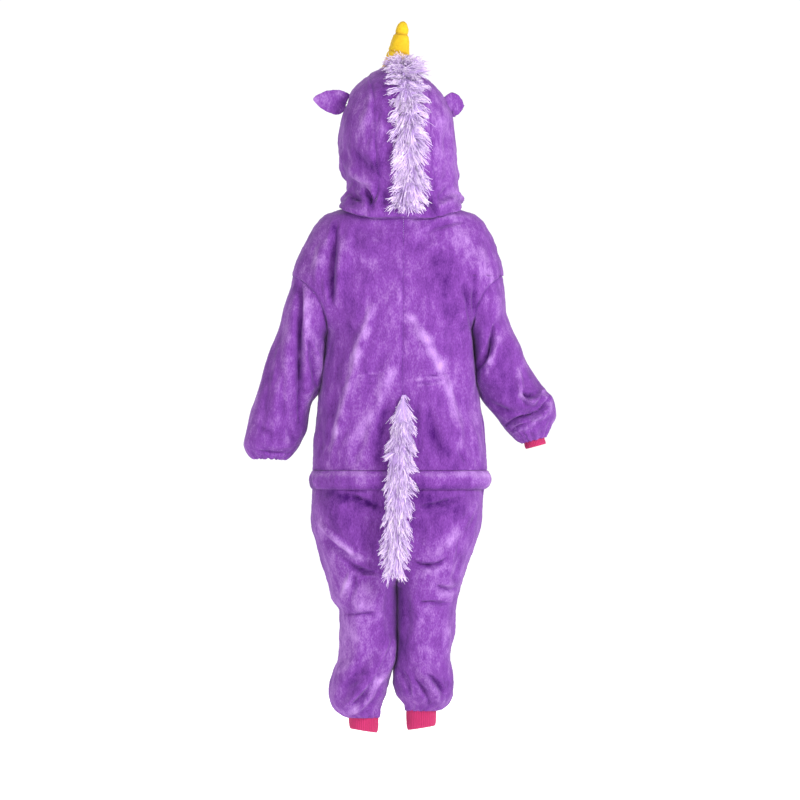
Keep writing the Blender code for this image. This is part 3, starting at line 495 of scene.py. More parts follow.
legTables = {
    "left": Table(
        "z outer inner back front",
        (-695, -138, -11.7, 97, 93), (-722, -131, -11.7, 91, 88), (-741, -119, -11.7, 86, 84),
        (-786, -118, -12.5, 76, 78), (-830, -119, -16.5, 72, 75), (-852, -129, -24, 71, 76),
        (-875, -136, -28, 70, 76), (-897, -138, -31, 68, 74), (-917, -133, -39, 60, 66),
        (-932, -121, -42, 45, 50), (-941, -104, -43, 34, 37),
    ),
    "right": Table(
        "z outer inner back front",
        (-695, 107, -10.3, 97, 93), (-722, 101, -10.3, 90, 88), (-741, 98, -10.3, 85, 83),
        (-786, 95, -10.3, 75, 76), (-830, 89, -12, 70, 73), (-852, 93, -15.5, 70, 74),
        (-875, 94, -17, 68, 73), (-897, 92, -12, 62, 68), (-911, 86, -2, 50, 56), (-921, 77, 3, 39, 43),
        (-928, 65, 3, 34, 37),
    ),
}
# the armhole seam seen from behind, from the top of the arm to the armpit
armholes = {
    "left": ((-206, -117), (-142, -150), (-141, -225)),
    "right": ((185, -117), (133, -147), (131, -225)),
}
# the cloth's largest folds, all round
broadFolds = Table(
    "x0 z0 x1 z1 width depth",
    (-70, -219, -128, -458, 24, 6), (24, -219, 90, -430, 24, 6), (-104, -200, -140, -440, 16, -5),
    (108, -150, 128, -330, 16, 5), (88, -160, 104, -340, 16, -5), (-150, -530, -62, -640, 20, 5),
    (122, -535, 40, -610, 20, 5), (-110, -545, -30, -585, 18, -6), (100, -560, 10, -575, 18, -6),
    (-18, -790, -112, -936, 14, 7), (-45, -800, -118, -905, 14, -7), (30, -840, 70, -915, 12, 6),
    (52, -820, 88, -890, 12, -6), (172, -372, 240, -380, 12, -7), (188, -400, 284, -348, 9, -9),
    (205, -392, 282, -330, 12, 5), (176, -215, 140, -300, 14, -6), (205, -235, 150, -322, 14, 5),
    (-196, -128, -190, -395, 12, -5),
)
frontFoldShare = 0.6
# finer creases on the back, each with a sideways bend
backCreases = Table(
    "x0 z0 x1 z1 bend width depth",
    (-124, -28, -133, -165, 4, 8, -5), (-100, -36, -116, -150, 5, 12, 2.5),
    (-150, -60, -160, -128, 3, 9, 3), (112, -140, 134, -330, -5, 5, -4), (132, -118, 138, -300, 2, 6, -4),
    (146, -60, 132, -140, -3, 10, 2.5), (110, -16, 41, -38, 4, 6, -2.6), (66, -40, 18, -70, 5, 11, -1.6),
    (-84, -30, -40, -52, -4, 10, -1.6), (-56, -176, -90, -300, 3, 9, 2.6),
    (-90, -300, -128, -440, 2, 9, 2.4), (20, -205, 66, -292, -4, 9, 2.6), (66, -292, 108, -440, -5, 8, 2.4),
    (-80, -307, -36, -300, 1, 2.4, -1.3), (-70, -318, -44, -317, 0, 2, -0.9),
    (14, -306, 86, -299, 2, 2.2, -1.5), (26, -318, 74, -312, 2, 2.4, -1.4),
    (30, -290, 62, -287, 1, 2, -0.8), (102, -430, 124, -470, 3, 4, -2.2), (136, -458, 142, -476, 1, 4, -2),
    (-30, -340, -46, -450, 3, 10, -2.2), (-150, -300, -152, -440, 3, 8, -2),
    (-66, -395, -92, -468, 4, 9, -2), (44, -360, 62, -462, -4, 10, -2.2),
    (-18, -260, -40, -360, 3, 12, 1.6), (-96, -455, -60, -474, 2, 5, -1.4),
    (120, -372, 140, -465, -3, 7, 2),
)
legCreases = Table(
    "x0 z0 x1 z1 bend width depth",
    (-90, -528, -42, -546, 3, 5, -3), (-140, -522, -70, -532, 2, 6, -2.4),
    (112, -526, 30, -548, -3, 5, -3.4), (-156, -578, -82, -636, 4, 6, 3.4),
    (-150, -592, -84, -650, 5, 7, -2.6), (-112, -640, -50, -668, 8, 5, -4),
    (-98, -668, -112, -708, -2, 4.5, 2.6), (-88, -668, -98, -716, -2, 5, -2.4),
    (-112, -745, -36, -743, 1, 3.2, -2.4), (-104, -733, -50, -730, 1, 8, 1.6),
    (20, -648, 80, -642, 11, 4.5, -4), (137, -546, 68, -634, -4, 5, 3.2),
    (128, -560, 72, -628, -3, 5, -2.6), (60, -690, 106, -698, 6, 4, -3.6), (30, -722, 90, -726, 1, 3, -3),
    (64, -678, 108, -686, 6, 7, 2.4), (98, -610, 84, -690, 3, 5, 2), (106, -640, 94, -720, 2, 5, -2.6),
    (-24, -795, -60, -878, -6, 5, -4), (-61, -878, -108, -924, -5, 5, -4),
    (-18, -800, -48, -880, -7, 6, 3.6), (-48, -880, -100, -932, -5, 6, 3.6),
    (-72, -868, -116, -884, 3, 5, -2), (-66, -852, -100, -866, 2, 3, -1.4),
    (-8, -846, 14, -900, -3, 4.5, -3.4), (22, -866, 50, -914, -4, 4.5, -4),
    (42, -856, 84, -908, -5, 4.5, -4), (34, -858, 66, -912, -5, 5, 3), (-120, -770, -116, -850, 2, 9, 2),
    (80, -770, 84, -850, -2, 9, 2), (-30, -700, -24, -790, 2, 9, -2.4), (6, -700, 8, -790, -2, 9, -2.4),
    (-70, -690, -84, -760, 3, 12, 1.8),
)
# the unseen front gathers in the same way, less deeply
frontCreases = Table(
    "x0 z0 x1 z1 bend width depth",
    (-128, -36, -136, -170, 4, 8, -4), (128, -36, 130, -170, -4, 8, -4), (-40, -200, -108, -330, 4, 9, 2.4),
    (38, -210, 96, -340, -4, 9, 2.4), (-118, -330, -70, -350, 3, 3, -2), (48, -345, 118, -328, 3, 3, -2),
    (-90, -365, -40, -372, 2, 3, -1.6), (-70, -450, -122, -560, -4, 8, 3), (66, -455, 112, -560, 4, 8, 3),
    (-128, -585, -30, -640, 8, 7, -4), (104, -585, 12, -642, -8, 7, -4), (-118, -610, -40, -672, 8, 8, 3),
    (92, -610, 20, -674, -8, 8, 3), (-112, -735, -40, -728, -4, 5, -3), (20, -730, 88, -738, -4, 5, -3),
    (-60, -800, -108, -890, 6, 7, 3.6), (-44, -820, -92, -910, 6, 6, -3.6),
    (34, -800, 72, -890, -6, 7, 3.6), (24, -830, 62, -912, -6, 6, -3.6), (-100, -860, -122, -915, 2, 5, -3),
    (64, -850, 86, -900, -2, 5, -3), (-150, -260, -150, -420, 3, 8, -2), (132, -260, 138, -420, -3, 8, -2),
    (-90, -60, -40, -120, 5, 12, -1.6), (86, -58, 40, -118, -5, 12, -1.6),
)
# where the colour lies lighter (+) or darker (-): the nap's own patches, together with painted highlight
# along fold ridges and painted shade in creases, between the legs and under the seat band
backNapAndPaintedLight = Table(
    "x0 z0 x1 z1 width amount",
    (-150, -50, -162, -92, 13, 0.45), (-56, -180, -86, -270, 7, 0.75), (-86, -270, -126, -405, 8, 0.7),
    (-126, -405, -140, -470, 9, 0.6), (18, -200, 66, -282, 10, 0.7), (66, -282, 88, -335, 9, 0.7),
    (88, -335, 103, -440, 6, 0.6), (98, -34, 145, -96, 20, 0.55), (150, -100, 168, -128, 12, 0.5),
    (-18, -298, -42, -345, 9, 0.5), (-46, -350, -78, -410, 12, 0.4), (-96, -24, -62, -64, 17, -0.3),
    (-110, -120, -94, -226, 10, -0.45), (72, -105, 104, -250, 17, -0.4),
    (-122, -265, -104, -335, 10, -0.45), (-32, -370, -50, -455, 9, -0.6), (34, -390, 104, -465, 17, -0.5),
    (0, -60, 0, -200, 20, 0.12), (-40, -100, -30, -200, 16, 0.15), (132, -320, 150, -440, 6, 0.35),
    (-128, -30, -132, -160, 5, -0.6), (132, -118, 139, -300, 6, -0.6), (114, -140, 136, -330, 5, -0.5),
    (14, -312, 84, -304, 2, 0.5), (28, -322, 72, -317, 1.6, 0.5), (-78, -304, -40, -298, 1.6, 0.4),
    (20, -8, 40, -40, 16, 0.2),
)
legNapAndPaintedLight = Table(
    "x0 z0 x1 z1 width amount",
    (-163, -527, -152, -600, 7, 0.6), (-154, -584, -80, -642, 6, 0.6), (-130, -610, -100, -640, 12, 0.4),
    (-100, -672, -112, -708, 4, 0.75), (-104, -770, -110, -845, 14, 0.5), (-60, -760, -70, -850, 22, 0.2),
    (-20, -795, -46, -868, 5, 0.7), (-46, -868, -106, -932, 6, 0.65), (24, -770, 44, -840, 16, 0.3),
    (137, -540, 70, -630, 6, 0.55), (60, -620, 34, -600, 14, 0.2), (68, -713, 104, -702, 5, 0.65),
    (26, -674, 90, -656, 5, 0.55), (2, -868, 22, -912, 5, 0.5), (-140, -520, -42, -548, 12, -0.75),
    (28, -528, 122, -562, 15, -0.7), (-138, -545, -112, -585, 12, -0.55), (-60, -600, -20, -650, 16, -0.3),
    (-104, -872, -66, -852, 12, -0.5), (-70, -898, -88, -880, 7, -0.5), (-12, -700, -14, -800, 7, -0.9),
    (-4, -700, -4, -800, 5, -0.6), (58, -872, 84, -880, 8, -0.35), (30, -590, 60, -620, 14, -0.2),
    (-118, -700, -60, -722, 12, 0.25), (88, -780, 84, -850, 8, 0.4), (-90, -655, -56, -664, 5, -0.4),
    (30, -652, 70, -655, 4, -0.5), (20, -560, 60, -590, 14, -0.35),
)
frontNapAndPaintedLight = Table(
    "x0 z0 x1 z1 width amount",
    (-60, -180, -110, -320, 11, 0.55), (52, -190, 104, -330, 11, 0.55), (-150, -60, -160, -110, 14, 0.4),
    (140, -50, 156, -110, 14, 0.4), (-90, -60, -60, -130, 20, -0.25), (84, -60, 60, -150, 20, -0.25),
    (-118, -470, -96, -560, 12, 0.4), (96, -470, 80, -560, 12, 0.4), (-110, -600, -50, -650, 12, -0.4),
    (90, -600, 30, -650, 12, -0.4), (-90, -740, -80, -840, 16, 0.4), (56, -740, 60, -840, 16, 0.4),
    (-60, -870, -90, -920, 8, 0.5), (30, -860, 60, -905, 8, 0.5), (-12, -700, -14, -800, 7, -0.9),
    (-30, -380, -60, -450, 16, -0.3), (30, -380, 60, -450, 16, -0.3), (-4, -700, -4, -800, 5, -0.6),
)


def shell(side, face, angle, z):
    # a place on the body; the angle runs from 0 at the centre seam to a quarter turn at the side
    centre = centreTable.at("x", z)
    half = bodyTable.at(side, z) - signOf(side) * centre
    depth = bodyTable.at(face, z) * (-1 if face == "back" else 1)
    c, s = powerCos(angle, bodyLook["round"])
    return np.stack([centre + signOf(side) * half * s, depth * c, z], axis=-1)


def legRing(side, face, angle, z):
    # a place on a leg; the angle runs from 0 at the inseam to a half turn at the side seam
    table = legTables[side]
    outer, inner = table.at("outer", z), table.at("inner", z)
    depth = table.at(face, z) * (-1 if face == "back" else 1)
    c, s = powerCos(angle, bodyLook["legRound"])
    return np.stack([(outer + inner) / 2 - (outer - inner) / 2 * c, depth * s, z], axis=-1)


def armhole(side, t):
    # x and z of the armhole seam, from 0 over the arm to 1 at the armpit
    a, b, c = (np.array(p, float) for p in armholes[side])
    t = np.asarray(t, float)[..., None]
    return a * (1 - t) ** 2 + 2 * b * t * (1 - t) + c * t**2


def sideAngle(side, x, z):
    centre = centreTable.at("x", z)
    half = bodyTable.at(side, z) - signOf(side) * centre
    return np.arcsin(np.clip(np.abs(x - centre) / half, 0, 1) ** (bodyLook["round"] / 2))


def legShare(share, z):
    # 0 on the body's ring and 1 on a leg's; the centre seam bends in late, the rest early and softly
    sharp = np.clip((z - crotchZ) / crotchCurve, 0, 1)
    soft = np.clip((z - crotchZ) / legBlend, 0, 1)
    atSeam = 1 - np.sqrt(1 - (1 - sharp) ** 2)
    return lerp(atSeam, (1 - soft) ** 2 * (1 + 2 * soft), 1 - (1 - share) ** 2)


def neckRing(side, face, share):
    # the neck seam, a rounded rectangle seen from above, where it meets the body
    c, s = powerCos(np.asarray(share, float) * math.pi / 2, neckRound)
    centre = centreTable.at("x", neckSideZ)
    x = centre + (signOf(side) * bodyTable.at(side, neckSideZ) - centre) * s
    y = neckDepth[face] * c * (-1 if face == "back" else 1)
    low, high = np.full(x.shape, -90.0), np.full(x.shape, float(neckSideZ))
    power = bodyLook["round"]
    for _ in range(30):
        z = (low + high) / 2
        centre = centreTable.at("x", z)
        half = bodyTable.at(side, z) - signOf(side) * centre
        outside = (np.abs(x - centre) / half) ** power + (np.abs(y) / bodyTable.at(face, z)) ** power > 1
        low, high = np.where(outside, low, z), np.where(outside, z, high)
    return np.stack([x, y, z], axis=-1)


def broadHeight(x, z):
    # the height of the large folds
    total = np.zeros_like(x)
    for *line, width, depth in broadFolds.rows:
        _, along, off = alongLine(x, z, line)
        ends = np.clip(np.minimum(along, 1 - along) * 5 + 0.5, 0, 1)
        total += depth * np.exp(-((off / width) ** 2)) * ends**2 * (3 - 2 * ends)
    return total


def panelRows(side, face, fromNeck, top, bottom):
    # rows of a panel; those above the armpit follow the shoulder and the armhole
    share = np.linspace(0, 1, bodyLook["columns"])
    step = bodyLook["step"]
    rows = []
    if fromNeck:
        neck = neckRing(side, face, share)
        neckAngle = sideAngle(side, neck[:, 0], neck[:, 2])
        inner = (-24, -40, -62, -88, -118) if face == "back" else (-46, -58, -76, -97, -120)
        heights = Table("row inner outer", *zip(range(1, 6), inner, (-4, -20, -46, -80, -117)))
        for number in np.linspace(0, 5, bodyLook["shoulderRows"]):
            z = lerp(heights.at("inner", number), heights.at("outer", number), share**1.5)
            first = min(number, 1)
            angle = lerp(neckAngle, share * math.pi / 2, first)
            rows.append(shell(side, face, angle, lerp(neck[:, 2], z, first)))
        for t in np.linspace(0, 1, bodyLook["armRows"])[1:] ** 1.7:  # closest at the top of the arm
            outerX, outerZ = armhole(side, t)
            z = lerp(lerp(inner[-1], armholes[side][2][1], t), outerZ, share**2)
            rows.append(shell(side, face, share * sideAngle(side, outerX, outerZ), z))
        top = armholes[side][2][1] - step
    for z in np.linspace(top, bottom, int(round((top - bottom) / step)) + 1):
        torso = shell(side, face, share * math.pi / 2, np.full(share.shape, max(z, crotchZ), float))
        power = lerp(0.65, 1, np.clip((crotchZ - z) / 130, 0, 1))
        ring = legRing(side, face, share**power * math.pi, np.full(share.shape, min(z, crotchZ), float))
        if z > crotchZ:
            wide, deep = (shell(side, face, a, np.array([z, crotchZ], float)) for a in (math.pi / 2, 0.0))
            ring[:, 0] = (
                wide[0, 0]
                + (ring[:, 0] - wide[1, 0]) * (wide[0, 0] - deep[0, 0]) / (wide[1, 0] - deep[1, 0])
            )
            ring[:, 1] *= deep[0, 1] / deep[1, 1]
        ring[:, 2] = torso[:, 2] = z
        rows.append(lerp(torso, ring, legShare(share, z)[:, None]))
    return np.array(rows)


def armAxis(side):
    top, _, pit = armholes[side]
    out = np.array([top[1] - pit[1], 0, pit[0] - top[0]], float)
    return unit(out) * (1 if out[0] * signOf(side) > 0 else -1)


def armRadial(side, points):
    top, _, pit = armholes[side]
    middle = np.array([(top[0] + pit[0]) / 2, 0, (top[1] + pit[1]) / 2])
    return flattened(points - middle, armAxis(side))


def edgedNormals(points, awayFrom, side):
    # the seam edges are squared, so that the neighbouring walls meet in a plane
    normals = gridNormals(points, False, awayFrom)
    legs = points[:, 0, 2] <= crotchZ
    normals[~legs, 0] = flattened(normals[~legs, 0], (1, 0, 0))
    normals[legs, 0] = flattened(normals[legs, 0], (0, 1, 0))
    normals[:, -1] = flattened(normals[:, -1], (0, 1, 0))
    normals[0] = flattened(normals[0], (0, 0, 1))
    normals[-1] = flattened(normals[-1], (0, 0, 1))
    onArm = (np.abs(points[:, -1, 1]) > 5) & (points[:, -1, 2] > armholes[side][2][1])
    normals[onArm, -1] = armRadial(side, points[onArm, -1])
    return normals


def seamPinch(points, distance, seed):
    # a seam draws the cloth in and puckers it beside the stitches
    width = bodyLook["pinchWidth"]
    pinch = (
        -bodyLook["pinch"] * np.exp(-((distance / width) ** 2))
        + 0.5 * np.exp(-(((distance - 10) / 5) ** 2))
    )
    return pinch + bodyLook["pucker"] * softNoise(points, 13, seed) * np.exp(-((distance / 13) ** 2))


def seamShade(distance):
    # painted shade beside a seam, in the groove its stitching draws in
    return 0.3 * np.exp(-((distance / 3) ** 2))


def plushUneven(points, seed):
    # the cloth's slack and its pile, brushed downwards
    slack = 1.1 * softNoise(points, 75, seed) + 0.45 * softNoise(points * [1, 1, 0.6], 26, seed + 1)
    return slack + 0.16 * softNoise(points * [1, 1, 0.5], 8, seed + 2, 24)


def finishPlush(name, points, normals, lift, napAndPaintedLight, material, wrap=False, renormal=None):
    outer = points + normals * lift[:, :, None]
    facing = renormal(outer) if renormal else gridNormals(outer, wrap, points.mean(axis=(0, 1)))
    napAndPaintedLight = (
        napAndPaintedLight * (0.9 + 0.35 * softNoise(points * [1, 1, 0.5], 17, 77))
        + 0.12 * softNoise(points * [1, 1, 0.6], 34, 78)
    )
    return clothShell(name, outer, outer - facing * bodyLook["cloth"], material, wrap, {"toneAndPaintedLight": napAndPaintedLight})


def bodyPanel(name, side, face, fromNeck, top, bottom, seed):
    bottom = max(bottom, legTables[side].rows[0, 0])
    points = panelRows(side, face, fromNeck, top, bottom)
    awayFrom = points * [0, 0, 1] + np.array([points[:, :, 0].mean(), 0, 0])
    normals = edgedNormals(points, awayFrom, side)
    back = face == "back"
    facing = np.clip(normals[:, :, 1] * (-1 if back else 1), 0, 1)
    x, z = points[:, :, 0], points[:, :, 2]
    lift = broadHeight(x, z) * facing * (1 if back else frontFoldShare)
    if not fromNeck:
        lift = lift - seatTuck * np.clip((z - seatBottomZ + 30) / 55, 0, 1)
    table = frontCreases if not back else backCreases if fromNeck else legCreases
    napAndPaintedLight = frontNapAndPaintedLight if not back else backNapAndPaintedLight if fromNeck else legNapAndPaintedLight
    fade = facing**0.7
    lift = lift + creaseLift(x, z, table) * fade + plushUneven(points, seed)
    edges = ["first", "last"] + (["top"] if fromNeck else [])
    distance = edgeDistance(points, edges)
    outwardSide, inwardSide = (np.clip(sign * signOf(side) * normals[:, :, 0], 0, 1) for sign in (1, -1))
    lift = lift + bodyLook["underArm"] * outwardSide * within(z, bodyLook["underArmZ"], 30)
    lift = lift + bodyLook["betweenLegs"] * inwardSide * within(z, bodyLook["betweenLegsZ"], 25)
    lift = lift * np.clip(distance / 6, 0, 1) + seamPinch(points, distance, seed + 5)
    end = arcs(points, 0)
    fromEnd = end[-1:] - end
    if not back or not fromNeck:  # the leg's end is gathered on to its cuff
        around = arcs(points, 1) / arcs(points, 1)[:, -1:]
        gather = bodyLook["gatherDepth"] * np.sin(
            around * bodyLook["gathers"] + softNoise(points, 60, seed + 8) * 2.5
        )
        lift = lift + gather * np.exp(-((fromEnd / 22) ** 2)) - 1.2 * np.exp(-((fromEnd / 5) ** 2))
    # the table's nap patches with their painted highlights on ridges, then painted highlight and shade
    # following the creases, and painted shade by the seams
    panelNapAndPaintedLight = (
        patches(x, z, napAndPaintedLight) * fade
        + 0.05 * creaseLift(x, z, table) * fade
        - seamShade(distance)
    )
    half = seamGap / 2
    legs = points[:, 0, 2] <= crotchZ
    backwards = -1 if back else 1
    points[~legs, 0, 0] += signOf(side) * half
    points[legs, 0, 1] += backwards * half
    onSide = np.abs(points[:, -1, 1]) <= 5
    points[onSide, -1, 1] += backwards * half
    cut = cutSize(points)
    made = finishPlush(
        name, points, normals, lift, panelNapAndPaintedLight, plush, renormal=lambda p: edgedNormals(p, awayFrom, side)
    )
    return made, cut


cuts = {}
panels = {}
for number, side in enumerate(sides):
    for kind, face, fromNeck, top, bottom in (
        ("back", "back", True, 0, seatTopZ), ("leg_back", "back", False, seatPanelTopZ, toLegEnd),
        ("front", "front", True, 0, toLegEnd),
    ):
        name = f"{kind}_{side}"
        made, cuts[name] = bodyPanel(
            f"{name}_cloth", side, face, fromNeck, top, bottom, 10 + 20 * number + len(kind),
        )
        panels[name] = dress(made, "purple_plush", name)
print("body panels made")


# sleeves

sleeveLook = {
    "round": 2.2, "rings": 104, "around": 136, "gathers": 15, "gatherDepth": 1.6, "underArmZ": (-170, -360),
}
# a ring's outer and inner points seen from behind, the y of its middle and half its depth
sleeveTables = {
    "left": Table(
        "ring outerX outerZ innerX innerZ y depth",
        (1, -212, -150, -146, -243, 0, 76), (2, -224, -188, -147.5, -268, 1, 72),
        (3, -236, -225, -149, -292, 2, 69), (4, -249, -262, -152, -316, 4, 66),
        (5, -261, -300, -158, -336, 6, 64), (6, -273, -336, -170, -354, 8, 62),
        (7, -284, -372, -176, -378, 10, 60), (8, -292, -405, -179, -404, 12, 57),
        (9, -297, -430, -189, -427, 13, 52), (10, -290, -447, -203, -447, 14, 44),
        (11, -278, -458, -219, -460, 14, 34), (12, -272, -455, -226, -457, 14, 28.5),
    ),
    "right": Table(
        "ring outerX outerZ innerX innerZ y depth",
        (1, 190, -150, 134, -243, 0, 76), (2, 191, -180, 135, -268, 2, 73),
        (3, 200, -208, 136.5, -292, 5, 71), (4, 214, -238, 139, -316, 9, 70),
        (5, 229, -272, 143.5, -336, 13, 68), (6, 246, -306, 153, -356, 17, 66),
        (7, 264, -328, 165, -372, 20, 65), (8, 281, -346, 178, -388, 22, 62),
        (9, 286, -376, 190, -403, 24, 57), (10, 278, -397, 202, -414, 25, 50),
        (11, 272, -409, 213, -424, 25, 39), (12, 267, -418, 223, -430, 25, 30),
    ),
}
sleeveCreases = {
    "left": Table(
        "x0 z0 x1 z1 bend width depth",
        (-192, -90, -190, -385, 2, 5, -4), (-180, -140, -176, -380, 2, 9, 2.4),
        (-204, -120, -214, -380, 3, 10, 2.4), (-168, -245, -154, -308, -3, 7, 3),
        (-176, -236, -164, -320, -3, 5, -3), (-270, -442, -214, -449, 2, 3, -2.4),
        (-262, -428, -210, -436, 3, 6, 2), (-240, -250, -262, -400, 4, 8, -2),
        (-226, -300, -240, -420, 3, 7, 1.8), (-150, -320, -172, -352, 3, 5, -2.6),
        (-214, -395, -196, -432, 4, 6, -2.4), (-276, -392, -240, -412, 3, 5, -1.8),
    ),
    "right": Table(
        "x0 z0 x1 z1 bend width depth",
        (171, -212, 137, -296, -5, 4.5, -4.5), (182, -208, 150, -300, -5, 8, 3),
        (215, -293, 220, -340, 2, 6, 3.4), (219, -340, 256, -334, 15, 5, 4.6),
        (221, -333, 244, -336, 9, 5, -4), (254, -336, 268, -318, 2, 5, 3),
        (273, -338, 258, -368, -3, 3.2, -5), (260, -366, 232, -382, -2, 3.2, -5),
        (236, -381, 188, -397, 2, 3.2, -5), (278, -352, 236, -388, -6, 7, 3.4),
        (228, -395, 200, -408, 2, 3, -3), (162, -354, 196, -371, 3, 7, -3),
        (200, -230, 232, -300, -3, 9, 2), (190, -180, 176, -240, 3, 9, -1.8),
        (250, -392, 226, -404, 2, 4, 2),
    ),
}
sleeveFrontCreases = Table(
    "x0 z0 x1 z1 bend width depth",
    (-160, -240, -200, -300, 4, 6, -3.6), (-170, -262, -226, -318, 4, 7, 3),
    (-180, -300, -250, -340, 4, 6, -3.4), (-230, -350, -280, -380, 4, 6, -3),
    (-240, -368, -284, -404, 4, 7, 2.6), (-216, -200, -226, -290, 3, 9, 2),
    (150, -240, 190, -290, -4, 6, -3.6), (160, -262, 214, -312, -4, 7, 3),
    (170, -306, 236, -330, -4, 6, -3.4), (206, -350, 270, -356, -5, 5, -3.6),
    (204, -372, 270, -382, -4, 6, 3), (196, -180, 200, -250, -3, 9, 2),
)
# where the colour lies lighter (+) or darker (-): nap patches together with painted highlight on the
# sleeve's ridges and painted shade in its creases
sleeveNapAndPaintedLight = {
    "left": Table(
        "x0 z0 x1 z1 width amount",
        (-172, -206, -152, -298, 8, 0.6), (-184, -120, -178, -180, 8, 0.4),
        (-178, -160, -172, -200, 10, 0.3), (-240, -200, -262, -330, 14, -0.35),
        (-200, -130, -196, -390, 6, -0.4), (-220, -140, -228, -220, 10, 0.1),
        (-196, -330, -200, -430, 8, 0.3), (-280, -360, -290, -430, 8, 0.35),
        (-250, -350, -256, -440, 14, -0.2), (-186, -330, -200, -430, 6, -0.5),
        (-176, -240, -168, -320, 5, -0.6), (-268, -446, -220, -452, 5, 0.2),
    ),
    "right": Table(
        "x0 z0 x1 z1 width amount",
        (184, -165, 206, -218, 8, 0.55), (206, -218, 236, -290, 8, 0.45), (190, -215, 156, -292, 7, 0.5),
        (215, -293, 220, -340, 6, 0.45), (219, -342, 256, -338, 5, 0.6), (262, -340, 278, -360, 7, 0.5),
        (248, -386, 274, -372, 6, 0.4), (180, -250, 200, -340, 16, -0.35), (166, -352, 198, -370, 9, -0.6),
        (150, -190, 140, -260, 8, -0.35), (222, -330, 244, -345, 5, -0.5), (236, -300, 250, -330, 9, -0.15),
        (160, -300, 170, -330, 10, 0.15), (200, -398, 250, -404, 5, 0.25),
    ),
}


def sleeveRing(side, ring, angles):
    # the angle runs from 0 on the outside of the arm, through the back
    table = sleeveTables[side]
    outer = np.array([table.at("outerX", ring), 0, table.at("outerZ", ring)])
    inner = np.array([table.at("innerX", ring), 0, table.at("innerZ", ring)])
    c, s = powerCos(angles, sleeveLook["round"])
    points = (outer + inner) / 2 + (outer - inner) / 2 * c[:, None]
    points[:, 1] = table.at("y", ring) - table.at("depth", ring) * s
    return points


def armholeRing(side, angles):
    t = np.where(angles <= math.pi, angles, 2 * math.pi - angles) / math.pi
    place = armhole(side, t)
    turn = sideAngle(side, place[:, 0], place[:, 1])
    back, front = (shell(side, face, turn, place[:, 1]) for face in ("back", "front"))
    return np.where((angles <= math.pi)[:, None], back, front)


def sleevePiece(side, seed):
    angles = np.arange(sleeveLook["around"]) * 2 * math.pi / sleeveLook["around"]
    rings = np.linspace(0, 12, sleeveLook["rings"])
    seam = armholeRing(side, angles) + armAxis(side) * seamGap
    first = sleeveRing(side, 1, angles)
    leave, arrive = first - seam, (sleeveRing(side, 1.1, angles) - first) * 10
    grid = []
    for r in rings:
        if r >= 1:
            grid.append(sleeveRing(side, r, angles))
        else:
            grid.append(
                seam * (2 * r**3 - 3 * r**2 + 1) + leave * (r**3 - 2 * r**2 + r)
                + first * (3 * r**2 - 2 * r**3) + arrive * (r**3 - r**2)
            )
    points = np.array(grid)
    middles = points.mean(axis=1, keepdims=True)
    normals = gridNormals(points, True, middles)
    x, z = points[:, :, 0], points[:, :, 2]
    behind, ahead = np.clip(-normals[:, :, 1], 0, 1), np.clip(normals[:, :, 1], 0, 1)
    lift = broadHeight(x, z) * (behind + ahead * frontFoldShare)
    towards = np.clip(-signOf(side) * normals[:, :, 0], 0, 1)
    lift = lift + bodyLook["underArm"] * towards * within(z, sleeveLook["underArmZ"], 30)
    lift = lift + creaseLift(x, z, sleeveCreases[side]) * behind**0.6
    lift = lift + creaseLift(x, z, sleeveFrontCreases) * ahead**0.6 + plushUneven(points, seed)
    distance = edgeDistance(points, ["top"])
    end = edgeDistance(points, ["bottom"])
    lift = (
        lift * np.clip(distance / 12, 0, 1) * np.clip(end / 14, 0, 1)
        + seamPinch(points, distance, seed + 5)
    )
    gather = np.sin(angles * sleeveLook["gathers"] + 1.4 * np.sin(angles * 4 + seed))
    lift = lift + sleeveLook["gatherDepth"] * gather * np.exp(-(((end - 12) / 20) ** 2))
    # painted highlight on ridges and painted shade in creases and by the armhole seam, over the nap patches
    napAndPaintedLight = (
        patches(x, z, sleeveNapAndPaintedLight[side]) * behind**0.6
        + 0.05 * creaseLift(x, z, sleeveCreases[side]) * behind
    )
    napAndPaintedLight = napAndPaintedLight - seamShade(distance) + 0.2 * softNoise(points, 120, seed + 9) * ahead
    cut = cutSize(points, True)

    def seamNormals(outer):
        facing = gridNormals(outer, True, middles)
        facing[0] = armRadial(side, outer[0])
        return facing

    normals = seamNormals(points)
    return finishPlush(f"sleeve_{side}_cloth", points, normals, lift, napAndPaintedLight, plush, True, seamNormals), cut


for number, side in enumerate(sides):
    made, cuts[f"sleeve_{side}"] = sleevePiece(side, 70 + 10 * number)
    panels[f"sleeve_{side}"] = dress(made, "purple_plush", f"sleeve_{side}")
print("sleeves made")


# the hood: a side on each hand and a strip along the middle

hoodLook = {
    "round": 2.25,
    "turn": math.radians(6),  # it looks a little to the wearer's left
    "turnFullZ": 70,
    "turnY": -8,
    "reach": 34,  # height over which it takes up the neck's shape
    "topZ": 271,
    "stripHalf": 52,
    "sideRows": 88,
    "sideColumns": 78,
    "stripColumns": 34,
    "rollLeft": 14,  # how far its lower edge rolls out over the neck seam
    "rollRight": 9,
    "rollDrop": 4,
    "rollHeight": 11,
    "rollSpread": 12,
    "hem": 13,  # the turned hem round the face
}
# middle of the hood and its half-width, depths behind and before y = 0, and y of the face edge
hoodTable = Table(
    "z middle half back front edge",
    (-40, 0, 100, 80, 84, 82), (0, 0, 105, 90, 88, 82), (25, 0, 104, 98, 93, 80), (54, 0, 104, 106, 99, 77),
    (69, -3, 106, 110, 102, 76), (84, -7, 107, 113, 104, 75), (113, -9, 108.5, 117, 107, 75),
    (143, -10, 107.5, 118, 107, 77), (173, -10, 104, 115, 105, 83), (195, -10, 97, 107, 101, 92),
    (217, -11, 87, 96, 92, 110), (235, -12, 74, 81, 79, 110), (250, -13, 58, 63, 62, 110),
    (262, -14, 40, 43, 42, 110), (268, -14, 25, 27, 26, 110), (272, -14, 4, 4, 4, 110),
)
